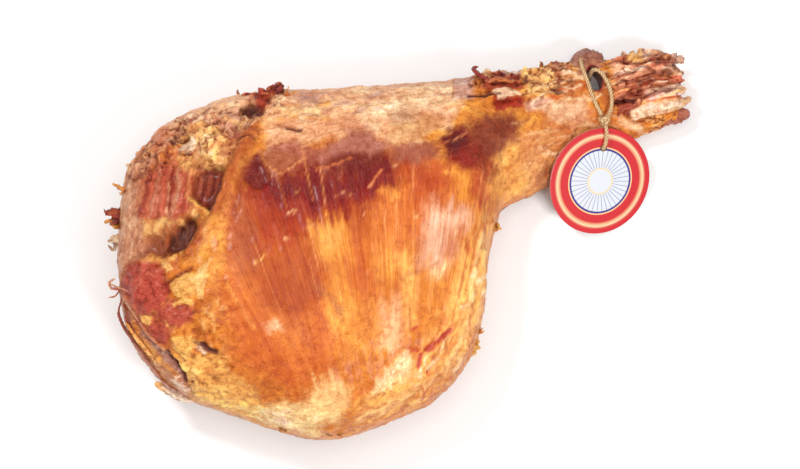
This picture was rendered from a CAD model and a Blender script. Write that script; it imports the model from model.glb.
"""A cured ham on the bone, lying on its outer side with the cut face up, and the round tag on
jute twine that is tied through its hock.

The ham is one surface of two parameters, along the leg and around each section of it. Tissues are
outlines and lines drawn on its upper side in millimetres. Each one tints the surface and raises
or sinks it along its normal. Shreds, twine and tag are sections carried along paths.
"""

import math

import bpy
import numpy as np
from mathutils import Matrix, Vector


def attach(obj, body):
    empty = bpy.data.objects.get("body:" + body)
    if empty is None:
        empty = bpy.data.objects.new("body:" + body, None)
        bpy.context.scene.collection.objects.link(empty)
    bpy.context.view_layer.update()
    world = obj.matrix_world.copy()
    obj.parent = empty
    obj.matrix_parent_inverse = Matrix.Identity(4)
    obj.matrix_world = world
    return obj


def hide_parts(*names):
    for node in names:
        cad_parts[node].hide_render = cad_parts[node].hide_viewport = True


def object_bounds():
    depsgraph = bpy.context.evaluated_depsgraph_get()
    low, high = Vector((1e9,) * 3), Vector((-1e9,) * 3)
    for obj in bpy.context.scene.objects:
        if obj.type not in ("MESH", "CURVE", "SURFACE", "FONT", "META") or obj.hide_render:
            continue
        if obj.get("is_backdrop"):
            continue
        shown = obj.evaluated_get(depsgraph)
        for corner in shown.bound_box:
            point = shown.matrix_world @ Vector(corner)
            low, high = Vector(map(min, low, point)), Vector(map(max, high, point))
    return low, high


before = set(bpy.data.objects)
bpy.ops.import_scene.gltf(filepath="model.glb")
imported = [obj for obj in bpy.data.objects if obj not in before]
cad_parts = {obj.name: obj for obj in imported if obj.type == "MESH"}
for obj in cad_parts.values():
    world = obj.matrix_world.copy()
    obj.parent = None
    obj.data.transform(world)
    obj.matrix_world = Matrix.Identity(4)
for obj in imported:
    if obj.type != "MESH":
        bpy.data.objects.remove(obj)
cad_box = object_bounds()
MM = 0.001  # shapes below are in millimetres, and the frame is in metres

# ---------------------------------------------------------------------------------------------
# The table, the light and the camera. A pale matt table, three soft boxes and a pale room. The
# camera looks down on the cut face, ten degrees off the vertical.
# ---------------------------------------------------------------------------------------------
scene = bpy.context.scene
scene.view_settings.view_transform = "Standard"
scene.view_settings.look = "None"

TABLE_SIZE = 14.0
TABLE_COLOUR = (0.93, 0.93, 0.93, 1)
VIEW_ELEVATION = math.radians(80)
VIEW_TARGET = (-0.0043, 0.0039, 0.070)
VIEW_DISTANCE = 2.4
VIEW_WIDTH = 0.736
SENSOR_WIDTH = 36.0


def look_at(obj, target):
    """Turns obj so that its local -Z points at target and its local +Y stays as far up as it can."""
    aim = Vector(target) - obj.location
    obj.rotation_euler = aim.to_track_quat("-Z", "Y").to_euler()


table_mesh = bpy.data.meshes.new("table")
half = TABLE_SIZE / 2
table_mesh.from_pydata(
    [(-half, -half, 0), (half, -half, 0), (half, half, 0), (-half, half, 0)], [], [(0, 1, 2, 3)]
)
table = bpy.data.objects.new("table", table_mesh)
scene.collection.objects.link(table)
table_paint = bpy.data.materials.new("table_paint")
table_paint.use_nodes = True
table_shader = table_paint.node_tree.nodes["Principled BSDF"]
table_shader.inputs["Base Color"].default_value = TABLE_COLOUR
table_shader.inputs["Roughness"].default_value = 0.9
table_mesh.materials.append(table_paint)
table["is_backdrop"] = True

room = bpy.data.worlds.new("room")
room.use_nodes = True
room.node_tree.nodes["Background"].inputs["Color"].default_value = (1.0, 0.99, 0.98, 1)
room.node_tree.nodes["Background"].inputs["Strength"].default_value = 0.27
scene.world = room

SOFT_BOXES = {  # name: (place, size, watts)
    "key_light": ((-0.8, 0.7, 1.8), 0.4, 25),
    "fill_light": ((0.9, -1.0, 1.5), 0.7, 27),
    "top_light": ((0.1, -0.1, 2.3), 1.2, 14),
}
for light_name, (place, size, watts) in SOFT_BOXES.items():
    light = bpy.data.lights.new(light_name, "AREA")
    light.size = size
    light.energy = watts
    lamp = bpy.data.objects.new(light_name, light)
    lamp.location = place
    look_at(lamp, (0, 0, 0.05))
    scene.collection.objects.link(lamp)

camera_data = bpy.data.cameras.new("camera")
camera_data.sensor_width = SENSOR_WIDTH
camera_data.lens = SENSOR_WIDTH * VIEW_DISTANCE / VIEW_WIDTH
camera_data.clip_end = 30
camera = bpy.data.objects.new("camera", camera_data)
camera.location = (
    VIEW_TARGET[0],
    VIEW_TARGET[1] - VIEW_DISTANCE * math.cos(VIEW_ELEVATION),
    VIEW_TARGET[2] + VIEW_DISTANCE * math.sin(VIEW_ELEVATION),
)
look_at(camera, VIEW_TARGET)
scene.collection.objects.link(camera)
scene.camera = camera

# ---------------------------------------------------------------------------------------------
# The twine. Three-ply jute, 3.6 mm thick: one loop round the tendon of the hock, an overhand
# knot, and a small loop through the hole of the tag. The plies are twisted into the tube itself,
# and loose hairs stand out of them.
# ---------------------------------------------------------------------------------------------
TWINE_DIAMETER = 3.6
PLY_COUNT = 3
PLY_PITCH = 9.0  # length of one full turn of a ply
PLY_DEPTH = 0.3  # how deep the valley between two plies is, as a share of the radius
PLY_SWELL = 1.03  # how far the crowns of the plies stand outside the nominal radius
RING_SPACING = 0.3
RING_SIDES = 30

# The loops' routes repeat those of the CAD tubes.
TENDON_LOOP_ROUTE = [
    (192.2, 113.7, 46.9), (189.5, 118.8, 47.6), (186.8, 124.0, 48.6), (184.4, 129.8, 49.2),
    (182.2, 135.8, 49.6), (180.2, 142.0, 49.8), (178.0, 148.6, 49.6), (175.8, 155.0, 49.1),
    (174.2, 161.0, 47.3), (173.3, 166.8, 43.7), (173.0, 171.3, 37.6), (173.0, 173.3, 30.0),
    (173.1, 174.1, 22.4), (173.6, 173.4, 15.0), (174.9, 170.4, 8.6), (177.0, 165.8, 4.4),
    (179.7, 161.0, 2.6), (181.8, 157.3, 5.4), (182.6, 155.8, 11.6), (182.6, 155.6, 20.8),
    (182.6, 155.8, 28.0), (182.7, 156.2, 35.0), (183.3, 157.0, 41.2), (185.2, 157.8, 46.0),
    (188.4, 157.2, 48.2), (191.8, 154.6, 48.4), (194.9, 150.6, 47.9), (197.9, 145.4, 47.4),
    (200.2, 139.4, 47.2), (201.5, 132.8, 46.8), (201.7, 126.0, 46.2), (200.8, 119.6, 45.6),
    (198.1, 113.3, 46.5),
]
TAG_LOOP_ROUTE = [
    (195.1, 103.6, 51.2), (196.0, 98.6, 51.6), (196.1, 93.6, 49.4), (195.7, 88.9, 46.8),
    (194.6, 85.0, 43.9), (193.5, 83.6, 40.2), (192.6, 85.4, 37.4), (192.1, 89.4, 38.6),
    (192.1, 94.0, 40.6), (192.6, 98.6, 42.4), (193.4, 102.9, 44.6),
]
KNOT_CENTRE = (194.5, 108.5, 47.6)
KNOT_REACH = 1.35  # a third of the radius of the three-lobed path
KNOT_DEPTH = 2.2
KNOT_TWINE_RADIUS = 1.75
# The CAD model is drawn with the leg off centre and then centred on its own footprint.
CAD_SHIFT = np.array([-7.5, 7.406, 0.0])


def catmull_rom(points, count):
    """A uniform Catmull-Rom spline through the rows of points, read at count even steps.

    Between rows 1 and 2 of each four, with f from 0 to 1, it is half of
    2 p1 + (p2 - p0) f + (2 p0 - 5 p1 + 4 p2 - p3) f^2 + (3 p1 - p0 - 3 p2 + p3) f^3.
    """
    points = np.asarray(points, float)
    last = len(points) - 1
    s = np.linspace(0, last, count)
    bay = np.minimum(s.astype(int), last - 1)
    f = (s - bay)[:, None]
    p0, p1 = points[np.maximum(bay - 1, 0)], points[bay]
    p2, p3 = points[bay + 1], points[np.minimum(bay + 2, last)]
    return 0.5 * (
        2 * p1
        + (p2 - p0) * f
        + (2 * p0 - 5 * p1 + 4 * p2 - p3) * f**2
        + (3 * p1 - p0 - 3 * p2 + p3) * f**3
    )


def even_steps(path, spacing):
    """The same path with its points an even spacing apart, by its running length."""
    run = np.concatenate([[0], np.cumsum(np.linalg.norm(np.diff(path, axis=0), axis=1))])
    count = max(int(round(run[-1] / spacing)), 2) + 1
    steps = np.linspace(0, run[-1], count)
    return np.stack([np.interp(steps, run, path[:, k]) for k in range(3)], axis=1), steps


def frames_along(path):
    """Tangents and two side directions along a path, turned as little as they can be."""
    tangents = np.gradient(path, axis=0)
    tangents /= np.linalg.norm(tangents, axis=1)[:, None]
    side = np.cross(tangents[0], (0.3, 0.2, 0.9))
    sides = []
    for tangent in tangents:
        side = side - tangent * side.dot(tangent)
        side = side / np.linalg.norm(side)
        sides.append(side)
    sides = np.array(sides)
    return tangents, sides, np.cross(tangents, sides)


def grid_faces(rows, columns, wrap_rows=False, wrap_columns=True):
    """Quads of a grid of rows by columns of vertices, numbered row by row."""
    r = np.arange(rows if wrap_rows else rows - 1)
    c = np.arange(columns if wrap_columns else columns - 1)
    r, c = (a.ravel() for a in np.meshgrid(r, c, indexing="ij"))
    r2, c2 = (r + 1) % rows, (c + 1) % columns
    return np.stack([r * columns + c, r2 * columns + c, r2 * columns + c2, r * columns + c2], axis=1)


def end_caps(rows, columns):
    """Fans of triangles that close the first and the last ring of such a grid, whose two middle
    points are numbered after all the rings."""
    k = np.arange(columns)
    k2, middle, last = (k + 1) % columns, np.full(columns, rows * columns), (rows - 1) * columns
    return np.concatenate(
        [np.stack([middle, k2, k], axis=1), np.stack([middle + 1, last + k, last + k2], axis=1)]
    )


def make_mesh(name, points, quads, triangles=()):
    """A smooth mesh object of points in millimetres, with quads and triangles that index them."""
    triangles = np.asarray(triangles, int).reshape(-1, 3)
    mesh = bpy.data.meshes.new(name)
    mesh.vertices.add(len(points))
    mesh.vertices.foreach_set("co", (np.asarray(points) * MM).astype(np.float32).ravel())
    corners = np.concatenate([np.asarray(quads, int).ravel(), triangles.ravel()])
    totals = np.concatenate([np.full(len(quads), 4), np.full(len(triangles), 3)])
    mesh.loops.add(len(corners))
    mesh.loops.foreach_set("vertex_index", corners.astype(np.int32))
    mesh.polygons.add(len(totals))
    starts = np.concatenate([[0], np.cumsum(totals)[:-1]])
    mesh.polygons.foreach_set("loop_start", starts.astype(np.int32))
    mesh.update(calc_edges=True)
    mesh.validate()
    mesh.polygons.foreach_set("use_smooth", np.ones(len(mesh.polygons), bool))
    obj = bpy.data.objects.new(name, mesh)
    scene.collection.objects.link(obj)
    return obj


def set_attribute(obj, name, values):
    """Stores one number or one vector per vertex under a name that a material reads."""
    values = np.asarray(values, np.float32)
    kind = "FLOAT" if values.ndim == 1 else "FLOAT_VECTOR"
    attribute = obj.data.attributes.new(name, kind, "POINT")
    attribute.data.foreach_set("value" if values.ndim == 1 else "vector", values.ravel())


def rope(name, path, run, radius=TWINE_DIAMETER / 2):
    """A twisted rope: around each point of path stands a ring whose radius is
    radius swell (1 - depth + depth sqrt |cos(n (angle - 2 pi run / pitch) / 2)|), with n plies,
    and both ends close in a low dome."""
    tangents, sides, ups = frames_along(path)
    angle = np.linspace(0, 2 * np.pi, RING_SIDES, endpoint=False)
    phase = PLY_COUNT * (angle[None, :] - 2 * np.pi * run[:, None] / PLY_PITCH) / 2
    lobes = np.abs(np.cos(phase))
    r = radius * (1 - PLY_DEPTH + PLY_DEPTH * np.sqrt(lobes)) * PLY_SWELL
    to_end = np.minimum(run, run[-1] - run)
    r = r * np.sqrt(np.clip(to_end / radius + 0.15, 0.0, 1.0))[:, None]
    rings = (
        path[:, None, :]
        + sides[:, None, :] * (r * np.cos(angle))[..., None]
        + ups[:, None, :] * (r * np.sin(angle))[..., None]
    )
    count = len(path)
    points = np.concatenate([rings.reshape(-1, 3), path[:1], path[-1:]])
    obj = make_mesh(name, points, grid_faces(count, RING_SIDES)[:, ::-1], end_caps(count, RING_SIDES))
    lay = np.stack([np.repeat(run, RING_SIDES), phase.ravel(), lobes.ravel()], axis=1)
    set_attribute(obj, "lay", np.concatenate([lay, [[0, 0, 1], [run[-1], 0, 1]]]) * (MM, 1, 1))
    return obj


HAIR_RADIUS = 0.09
HAIR_LOWEST = 0.3  # above the table


def hairs_on(name, path, count, seed, reach=2.2):
    """Loose jute hairs: thin three-sided spikes of four steps that leave the rope at a slant and
    curl, each standing on a random place of it. The tips taper to 15 % of the root."""
    rng = np.random.default_rng(seed)
    tangents, sides, ups = frames_along(path)
    at = rng.integers(3, len(path) - 3, count)
    around = rng.uniform(0, 2 * np.pi, count)
    out = sides[at] * np.cos(around)[:, None] + ups[at] * np.sin(around)[:, None]
    swing = np.cross(tangents[at], out)
    length = reach * rng.uniform(0.5, 1.6, count)
    slant = rng.uniform(-1.4, 1.4, (count, 2))
    step = np.linspace(0, 1, 5)[None, :, None]
    line = (
        path[at][:, None, :]
        + out[:, None, :] * (TWINE_DIAMETER * 0.42 + length[:, None, None] * 0.6 * step)
        + tangents[at][:, None, :] * (length * slant[:, 0])[:, None, None] * step**1.5
        + swing[:, None, :] * (length * slant[:, 1])[:, None, None] * step**2
    )
    line[..., 2] = np.maximum(line[..., 2], HAIR_LOWEST)
    thin = HAIR_RADIUS * (1 - 0.85 * step)
    corner = np.array([0, 2 * np.pi / 3, 4 * np.pi / 3])
    wide = tangents[at][:, None, None, :] * np.cos(corner)[None, None, :, None]
    tall = swing[:, None, None, :] * np.sin(corner)[None, None, :, None]
    points = line[:, :, None, :] + thin[..., None] * (wide + tall)
    one = grid_faces(5, 3)
    quads = (one[None] + 15 * np.arange(count)[:, None, None]).reshape(-1, 4)
    ends = np.array([[0, 1, 2], [14, 13, 12]])
    triangles = (ends[None] + 15 * np.arange(count)[:, None, None]).reshape(-1, 3)
    obj = make_mesh(name, points.reshape(-1, 3), quads, triangles)
    set_attribute(obj, "lay", np.tile((0.0, 0.0, 1.0), (len(obj.data.vertices), 1)))
    return obj


def add_node(tree, kind, **inputs):
    """A new node of that kind, with its inputs set by name; a socket is linked, a value is set."""
    node = tree.nodes.new(kind)
    for name, value in inputs.items():
        socket = node.inputs[name.replace("_", " ")]
        if isinstance(value, bpy.types.NodeSocket):
            tree.links.new(value, socket)
        else:
            socket.default_value = value
    return node


def math_node(tree, operation, a, b=0.0, c=0.0, clamp=False):
    """One step of arithmetic on sockets or numbers."""
    node = tree.nodes.new("ShaderNodeMath")
    node.operation = operation
    node.use_clamp = clamp
    for socket, value in zip(node.inputs, (a, b, c)):
        if isinstance(value, bpy.types.NodeSocket):
            tree.links.new(value, socket)
        else:
            socket.default_value = value
    return node.outputs[0]


def ramp_node(tree, factor, stops):
    """A colour ramp from (position, colour) stops."""
    node = tree.nodes.new("ShaderNodeValToRGB")
    elements = node.color_ramp.elements
    while len(elements) < len(stops):
        elements.new(0.5)
    for element, (position, colour) in zip(elements, stops):
        element.position = position
        element.color = (*colour, 1) if len(colour) == 3 else colour
    tree.links.new(factor, node.inputs[0])
    return node.outputs["Color"]


def mix_node(tree, factor, a, b, blend="MIX"):
    """Mixes two colours by a factor."""
    node = tree.nodes.new("ShaderNodeMix")
    node.data_type = "RGBA"
    node.blend_type = blend
    for socket, value in zip((node.inputs[0], node.inputs[6], node.inputs[7]), (factor, a, b)):
        if isinstance(value, bpy.types.NodeSocket):
            tree.links.new(value, socket)
        else:
            socket.default_value = (*value, 1) if isinstance(value, tuple) and len(value) == 3 else value
    return node.outputs[2]


def new_material(name, roughness=0.5, specular=0.5):
    """A material with its Principled shader ready, and its node tree."""
    material = bpy.data.materials.new(name)
    material.use_nodes = True
    tree = material.node_tree
    shader = tree.nodes["Principled BSDF"]
    shader.inputs["Roughness"].default_value = roughness
    shader.inputs["Specular IOR Level"].default_value = specular
    return material, tree, shader


def jute_material():
    """Dull straw-brown jute. Each ply is darkest in its valley, with fine fibres along it."""
    material, tree, shader = new_material("jute", 0.85, 0.2)
    lay = add_node(tree, "ShaderNodeAttribute")
    lay.attribute_name = "lay"
    place = tree.nodes.new("ShaderNodeTexCoord").outputs["Object"]
    fibres = add_node(tree, "ShaderNodeTexNoise", Vector=place, Scale=1100.0, Detail=3.0, Roughness=0.6)
    patches = add_node(tree, "ShaderNodeTexNoise", Vector=place, Scale=160.0, Detail=2.0)
    parts = add_node(tree, "ShaderNodeSeparateXYZ", Vector=lay.outputs["Vector"])
    shade = math_node(tree, "MULTIPLY_ADD", fibres.outputs["Fac"], 0.75, -0.2)
    shade = math_node(tree, "MULTIPLY_ADD", parts.outputs["Z"], 0.55, shade, clamp=True)
    shade = math_node(
        tree, "MULTIPLY_ADD", patches.outputs["Fac"], 0.3, math_node(tree, "SUBTRACT", shade, 0.15),
    )
    colour = ramp_node(
        tree, shade,
        [
            (0.0, (0.16, 0.075, 0.03)), (0.45, (0.47, 0.28, 0.13)), (0.75, (0.74, 0.52, 0.29)),
            (1.0, (0.9, 0.72, 0.47)),
        ],
    )
    tree.links.new(colour, shader.inputs["Base Color"])
    bump = add_node(tree, "ShaderNodeBump", Strength=0.5, Distance=0.0003, Height=fibres.outputs["Fac"])
    tree.links.new(bump.outputs["Normal"], shader.inputs["Normal"])
    return material


def centreline(route):
    """A route's spline in the row frame at even steps, and its running length."""
    path = catmull_rom(np.array(route) + CAD_SHIFT, 40 * len(route))
    return even_steps(path, RING_SPACING)


jute = jute_material()
tendon_path, tendon_run = centreline(TENDON_LOOP_ROUTE)
tag_path, tag_run = centreline(TAG_LOOP_ROUTE)
tendon_loop = rope("jute_tendon_loop", tendon_path, tendon_run)
tag_loop = rope("jute_tag_loop", tag_path, tag_run)
turn = np.linspace(0, 2 * np.pi, 400)
knot_path = np.stack(
    [
        KNOT_REACH * (np.sin(turn) + 2 * np.sin(2 * turn)),
        KNOT_REACH * (np.cos(turn) - 2 * np.cos(2 * turn)),
        -KNOT_DEPTH * np.sin(3 * turn),
    ],
    axis=1,
)
knot_path, knot_run = even_steps(knot_path + np.array(KNOT_CENTRE) + CAD_SHIFT, RING_SPACING)
knot = rope("jute_knot", knot_path, knot_run, KNOT_TWINE_RADIUS)
tendon_hairs = hairs_on("jute_tendon_hairs", tendon_path, 520, 11)
tag_hairs = hairs_on("jute_tag_hairs", np.concatenate([tag_path, knot_path]), 260, 12, 1.8)
for piece in (tendon_loop, tag_loop, knot, tendon_hairs, tag_hairs):
    piece.data.materials.append(jute)
    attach(piece, "root")
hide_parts("tendon_loop")
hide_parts("tag_loop")
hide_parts("twine_knot")

# ---------------------------------------------------------------------------------------------
# The ham. One leg of pork, skinned on the cut face, cured and smoked: a fan of muscle in the
# middle, torn fat and lean on the left flank and the rim, tendons along the shank, and smoked rind
# below. It is a row of closed sections with the gambrel hole cut through the shank.
# ---------------------------------------------------------------------------------------------
SECTION_ROWS = [  # upper x, upper y, lower x, lower y, crown, waist, sole, lean
    (-255, -7, -255, -7, 62, 62, 62, 0), (-252, 25, -254, -37, 92, 62, 22, -0.02),
    (-245, 60, -251, -68, 109, 62, 6, -0.05), (-231, 83, -243, -101, 119, 62, -4, -0.08),
    (-213, 101, -227, -125, 128, 62, -10, -0.08), (-188, 114, -205, -146, 134, 62, -14, -0.08),
    (-158, 126, -175, -161, 139, 62, -14, -0.08), (-124, 132, -141, -172, 141, 62, -14, -0.08),
    (-89, 133, -104, -185, 141, 62, -14, -0.08), (-57, 135, -70, -192, 140, 62, -14, -0.08),
    (-26, 137, -35, -186, 136, 61, -14, -0.08), (1, 139, -1, -173, 131, 60, -13, -0.08),
    (25, 142, 29, -159, 125, 58, -10, -0.08), (44, 144, 55, -135, 119, 56, -6, -0.08),
    (58, 147, 71, -107, 113, 54, -2, -0.07), (69, 149, 80, -73, 107, 51, 1, -0.06),
    (78, 151, 83, -33, 100, 48, 3, -0.04), (87, 154, 91, 1, 93, 44, 4, -0.02),
    (98, 156, 99, 26, 86, 40, 4, 0), (114, 157, 117, 36, 76, 34, 4, 0.05),
    (133, 159, 139, 48, 64, 28, 3, 0.1), (153, 164, 161, 60, 54, 23, 2, 0.14),
    (174, 171, 184, 73, 48, 20, 1, 0.16), (196, 172, 206, 85, 45, 19, 0, 0.16),
    (217, 174, 225, 97, 43, 19, -1, 0.15), (236, 177, 242, 105, 42, 19, -1, 0.12),
    (254, 176, 255, 110, 40, 20, -1, 0.08), (265, 168, 265, 121, 35, 21, 5, 0.04),
    (270, 144, 270, 144, 22, 22, 22, 0),
]
SECTION_FULLNESS = 2.3
HAM_RINGS = 400
HAM_TOP_POINTS = 184
HAM_SOLE_POINTS = 46


def ham_surface():
    """The leg as sections: across each one, half + half cos^p of the angle, and up it,
    waist + reach sin^p, with p = 2 / fullness, flattened where it would pass below the table."""
    dense = catmull_rom(SECTION_ROWS, 2000)
    step = np.hypot(*np.diff(dense[:, 0:2], axis=0).T) + np.hypot(*np.diff(dense[:, 2:4], axis=0).T)
    run = np.concatenate([[0], np.cumsum(step)])
    even = np.linspace(0, run[-1], HAM_RINGS + 2)
    rows = np.stack([np.interp(even, run, dense[:, k]) for k in range(8)], axis=1)
    top = np.linspace(0, np.pi, HAM_TOP_POINTS, endpoint=False)
    sole = np.linspace(np.pi, 2 * np.pi, HAM_SOLE_POINTS, endpoint=False)
    angle = np.concatenate([top, sole])[None, :]
    power = 2 / SECTION_FULLNESS
    c = np.sign(np.cos(angle)) * np.abs(np.cos(angle)) ** power
    s = np.sign(np.sin(angle)) * np.abs(np.sin(angle)) ** power
    body = rows[1:-1]
    ux, uy, lx, ly, crown, waist, bottom, lean = (body[:, k, None] for k in range(8))
    is_top = angle < np.pi
    across = 0.5 + 0.5 * c + np.where(is_top, lean * np.sin(angle) ** 2, 0)
    height = waist + np.where(is_top, crown - waist, waist - bottom) * s
    rings = np.stack([lx + (ux - lx) * across, ly + (uy - ly) * across, np.maximum(height, 0)], axis=2)
    ends = rows[[0, -1]][:, [0, 1, 5]]
    n = HAM_TOP_POINTS + HAM_SOLE_POINTS
    points = np.concatenate([rings.reshape(-1, 3), ends]) + CAD_SHIFT
    return points, grid_faces(HAM_RINGS, n)[:, ::-1], end_caps(HAM_RINGS, n)


HOLE_CENTRE = (178.5, 157.4)
HOLE_HALF_AXES = (7.5, 12.5)
HOLE_TURN = math.radians(12)


def hole_radius(x, y):
    """1 on the wall of the gambrel hole, less inside it, more outside it."""
    dx, dy = x - HOLE_CENTRE[0], y - HOLE_CENTRE[1]
    c, s = math.cos(HOLE_TURN), math.sin(HOLE_TURN)
    return np.hypot((dx * c + dy * s) / HOLE_HALF_AXES[0], (dy * c - dx * s) / HOLE_HALF_AXES[1])


def hole_cutter():
    """A closed elliptical post that stands in the gambrel hole, from below the table to above the
    leg."""
    sides, levels = 64, np.linspace(-10, 70, 48)
    angle = np.linspace(0, 2 * np.pi, sides, endpoint=False)
    a, b = HOLE_HALF_AXES[0] * np.cos(angle), HOLE_HALF_AXES[1] * np.sin(angle)
    c, s = math.cos(HOLE_TURN), math.sin(HOLE_TURN)
    ring = np.stack([HOLE_CENTRE[0] + a * c - b * s, HOLE_CENTRE[1] + a * s + b * c], axis=1)
    rings = [np.column_stack([ring, np.full(sides, level)]) for level in levels]
    ends = [(*HOLE_CENTRE, levels[0]), (*HOLE_CENTRE, levels[-1])]
    faces = grid_faces(len(levels), sides)[:, ::-1]
    return make_mesh("hole_cutter", np.concatenate(rings + [ends]), faces, end_caps(len(levels), sides))


ham = make_mesh("ham_flesh", *ham_surface())
cutter = hole_cutter()
cut = ham.modifiers.new("gambrel_hole", "BOOLEAN")
cut.operation = "DIFFERENCE"
cut.solver = "EXACT"
cut.object = cutter
carved = bpy.data.meshes.new_from_object(ham.evaluated_get(bpy.context.evaluated_depsgraph_get()))
ham.modifiers.clear()
ham.data = carved
bpy.data.objects.remove(cutter)

count = len(carved.vertices)
place = np.empty(count * 3, np.float32)
carved.vertices.foreach_get("co", place)
place = place.reshape(-1, 3).astype(float) / MM
normal = np.empty(count * 3, np.float32)
carved.vertices.foreach_get("normal", normal)
normal = normal.reshape(-1, 3).astype(float)
x, y, z = place.T

LATTICE_EDGE = 48
LATTICE = np.random.default_rng(5).uniform(-1, 1, (LATTICE_EDGE,) * 3)


def smooth(value):
    """0 below 0, 1 above 1, and an S-curve between."""
    value = np.clip(value, 0, 1)
    return value * value * (3 - 2 * value)


def noise(points, scale, octaves=3, gain=0.5, seed=0):
    """Noise of about -1 to 1: random numbers at the corners of cubes whose edge is scale, joined
    smoothly across each cube, plus octaves of half the edge and gain times the strength."""
    total, strength, reach = 0.0, 1.0, 0.0
    for octave in range(octaves):
        q = points / np.asarray(scale, float) * 2**octave + 11.37 * (seed + octave)
        cell = np.floor(q).astype(int)
        f = smooth(q - cell)
        value = 0.0
        for corner in np.ndindex(2, 2, 2):
            share = np.where(corner, f, 1 - f).prod(axis=1)
            value = value + share * LATTICE[tuple(((cell + corner) % LATTICE_EDGE).T)]
        total = total + strength * value
        reach += strength
        strength *= gain
    return total / reach * 1.5


# Linear colours of the tissues.
TAN = (0.60, 0.31, 0.18)
PEACH = (0.83, 0.47, 0.26)
CREAM = (0.90, 0.60, 0.36)
WHITE_FAT = (0.93, 0.74, 0.55)
PALE_YELLOW = (0.98, 0.72, 0.36)
YELLOW = (0.92, 0.53, 0.15)
GOLD = (0.80, 0.36, 0.07)
AMBER = (0.68, 0.26, 0.05)
ORANGE = (0.62, 0.18, 0.04)
RED_ORANGE = (0.46, 0.085, 0.028)
CRIMSON = (0.26, 0.028, 0.018)
MAROON = (0.17, 0.026, 0.020)
DARK = (0.075, 0.014, 0.010)
PURPLE = (0.42, 0.18, 0.14)
PINK = (0.74, 0.42, 0.30)
CORAL = (0.56, 0.12, 0.065)
ROSE = (0.43, 0.06, 0.04)
BROWN = (0.40, 0.15, 0.065)
RIND = (0.50, 0.20, 0.055)

# How far a vertex belongs to the upper, cut side, and how far to the wall of the gambrel hole.
upper = smooth((normal[:, 2] + 0.05) / 0.4)
in_hole = smooth((1.35 - hole_radius(x, y)) / 0.3)
relief = np.zeros(count)
tint = np.tile(AMBER, (count, 1)).astype(float)
crisp = {name: np.full(count, -9.0) for name in ("red", "gold", "pale", "dark")}


def from_outline(px, py, corners):
    """The distance to the edge of a closed outline, positive inside it."""
    nearest = np.full(len(px), np.inf)
    inside = np.zeros(len(px), bool)
    for (ax, ay), (bx, by) in zip(corners, np.roll(corners, -1, axis=0)):
        ex, ey = bx - ax, by - ay
        t = np.clip(((px - ax) * ex + (py - ay) * ey) / (ex * ex + ey * ey), 0, 1)
        nearest = np.minimum(nearest, np.hypot(px - ax - t * ex, py - ay - t * ey))
        if ey:
            inside ^= ((ay > py) != (by > py)) & (px < ax + (py - ay) * ex / ey)
    return np.where(inside, nearest, -nearest)


def from_line(px, py, corners):
    """The distance to an open line through the corners."""
    nearest = np.full(len(px), np.inf)
    for (ax, ay), (bx, by) in zip(corners[:-1], corners[1:]):
        ex, ey = bx - ax, by - ay
        t = np.clip(((px - ax) * ex + (py - ay) * ey) / (ex * ex + ey * ey), 0, 1)
        nearest = np.minimum(nearest, np.hypot(px - ax - t * ex, py - ay - t * ey))
    return nearest


# Three zones of fibre: the fan of muscle over the middle, the left flank and the shank. The edges
# of the tissues wander, and fray along the fibres.
FAN_FOCUS = (-4, -348)  # where the fibres of the fan would meet
FAN_REACH = 380  # from there to the middle of the fan
SHANK_WAY = (0.96, 0.28)  # the way the shank runs
fan_x, fan_y = x - FAN_FOCUS[0], y - FAN_FOCUS[1]
fan_along, fan_across = np.hypot(fan_x, fan_y), np.arctan2(fan_x, fan_y) * FAN_REACH
FAN = [
    (-166, 40), (-100, 70), (0, 84), (96, 44), (92, -10), (66, -90), (30, -140), (-60, -170),
    (-150, -120),
]
LEFT_FLANK = [(-285, 60), (-240, 110), (-170, 60), (-180, -10), (-285, -40)]
fan_weight = smooth((from_outline(x, y, np.array(FAN, float)) + 6) / 24) * upper
left_weight = smooth((from_outline(x, y, np.array(LEFT_FLANK, float)) + 4) / 12) * upper
shank_weight = np.clip(1 - fan_weight - left_weight, 0, 1) * upper
fan_place = np.stack([fan_across, fan_along / 16, z / 20], axis=1)
shank_x, shank_y = x * SHANK_WAY[0] + y * SHANK_WAY[1], y * SHANK_WAY[0] - x * SHANK_WAY[1]
along_shank = np.stack([shank_x / 5, shank_y, z], axis=1)
fray_fan = noise(fan_place, 4.5, 3, 0.65, 23) * fan_weight * 1.5
fray_shank = noise(along_shank, 4.5, 3, 0.65, 24) * shank_weight * smooth((x - 20) / 40)
wander = np.stack([noise(place, 11, 4, 0.72, seed) for seed in (21, 22)], axis=1)
wander[:, 0] += fray_fan * fan_x / fan_along + fray_shank * SHANK_WAY[0]
wander[:, 1] += fray_fan * fan_y / fan_along + fray_shank * SHANK_WAY[1]


def tissue(shape, colour=None, mix=1.0, width=None, soft=2.5, rag=2.5, height=0.0, slope=None, kind=None):
    """Lays one piece of tissue on the upper side: an outline, or with width a line that wide. It
    tints the flesh over an edge of soft millimetres that strays by rag, raises it by height over a
    rim of slope, and with kind adds the shape to the tissues whose edges stay crisp."""
    corners = np.array(shape, float)
    slope = soft if slope is None else slope
    margin = max(soft, slope, 6) + rag * 1.5 + (width or 0)
    low, high = corners.min(axis=0) - margin, corners.max(axis=0) + margin
    at = np.flatnonzero((x > low[0]) & (x < high[0]) & (y > low[1]) & (y < high[1]) & (upper > 0))
    px, py = x[at] + rag * wander[at, 0], y[at] + rag * wander[at, 1]
    if width is None:
        edge = from_outline(px, py, corners)
    else:
        edge = width / 2 - from_line(px, py, corners)
    if colour is not None:
        share = smooth((edge + soft) / (2 * soft)) * upper[at] * mix
        tint[at] += (np.array(colour) - tint[at]) * share[:, None]
    relief[at] += height * smooth((edge + slope) / (2 * slope)) * upper[at]
    if kind is not None:
        crisp[kind][at] = np.maximum(crisp[kind][at], edge - 9 * (1 - upper[at]))


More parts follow.
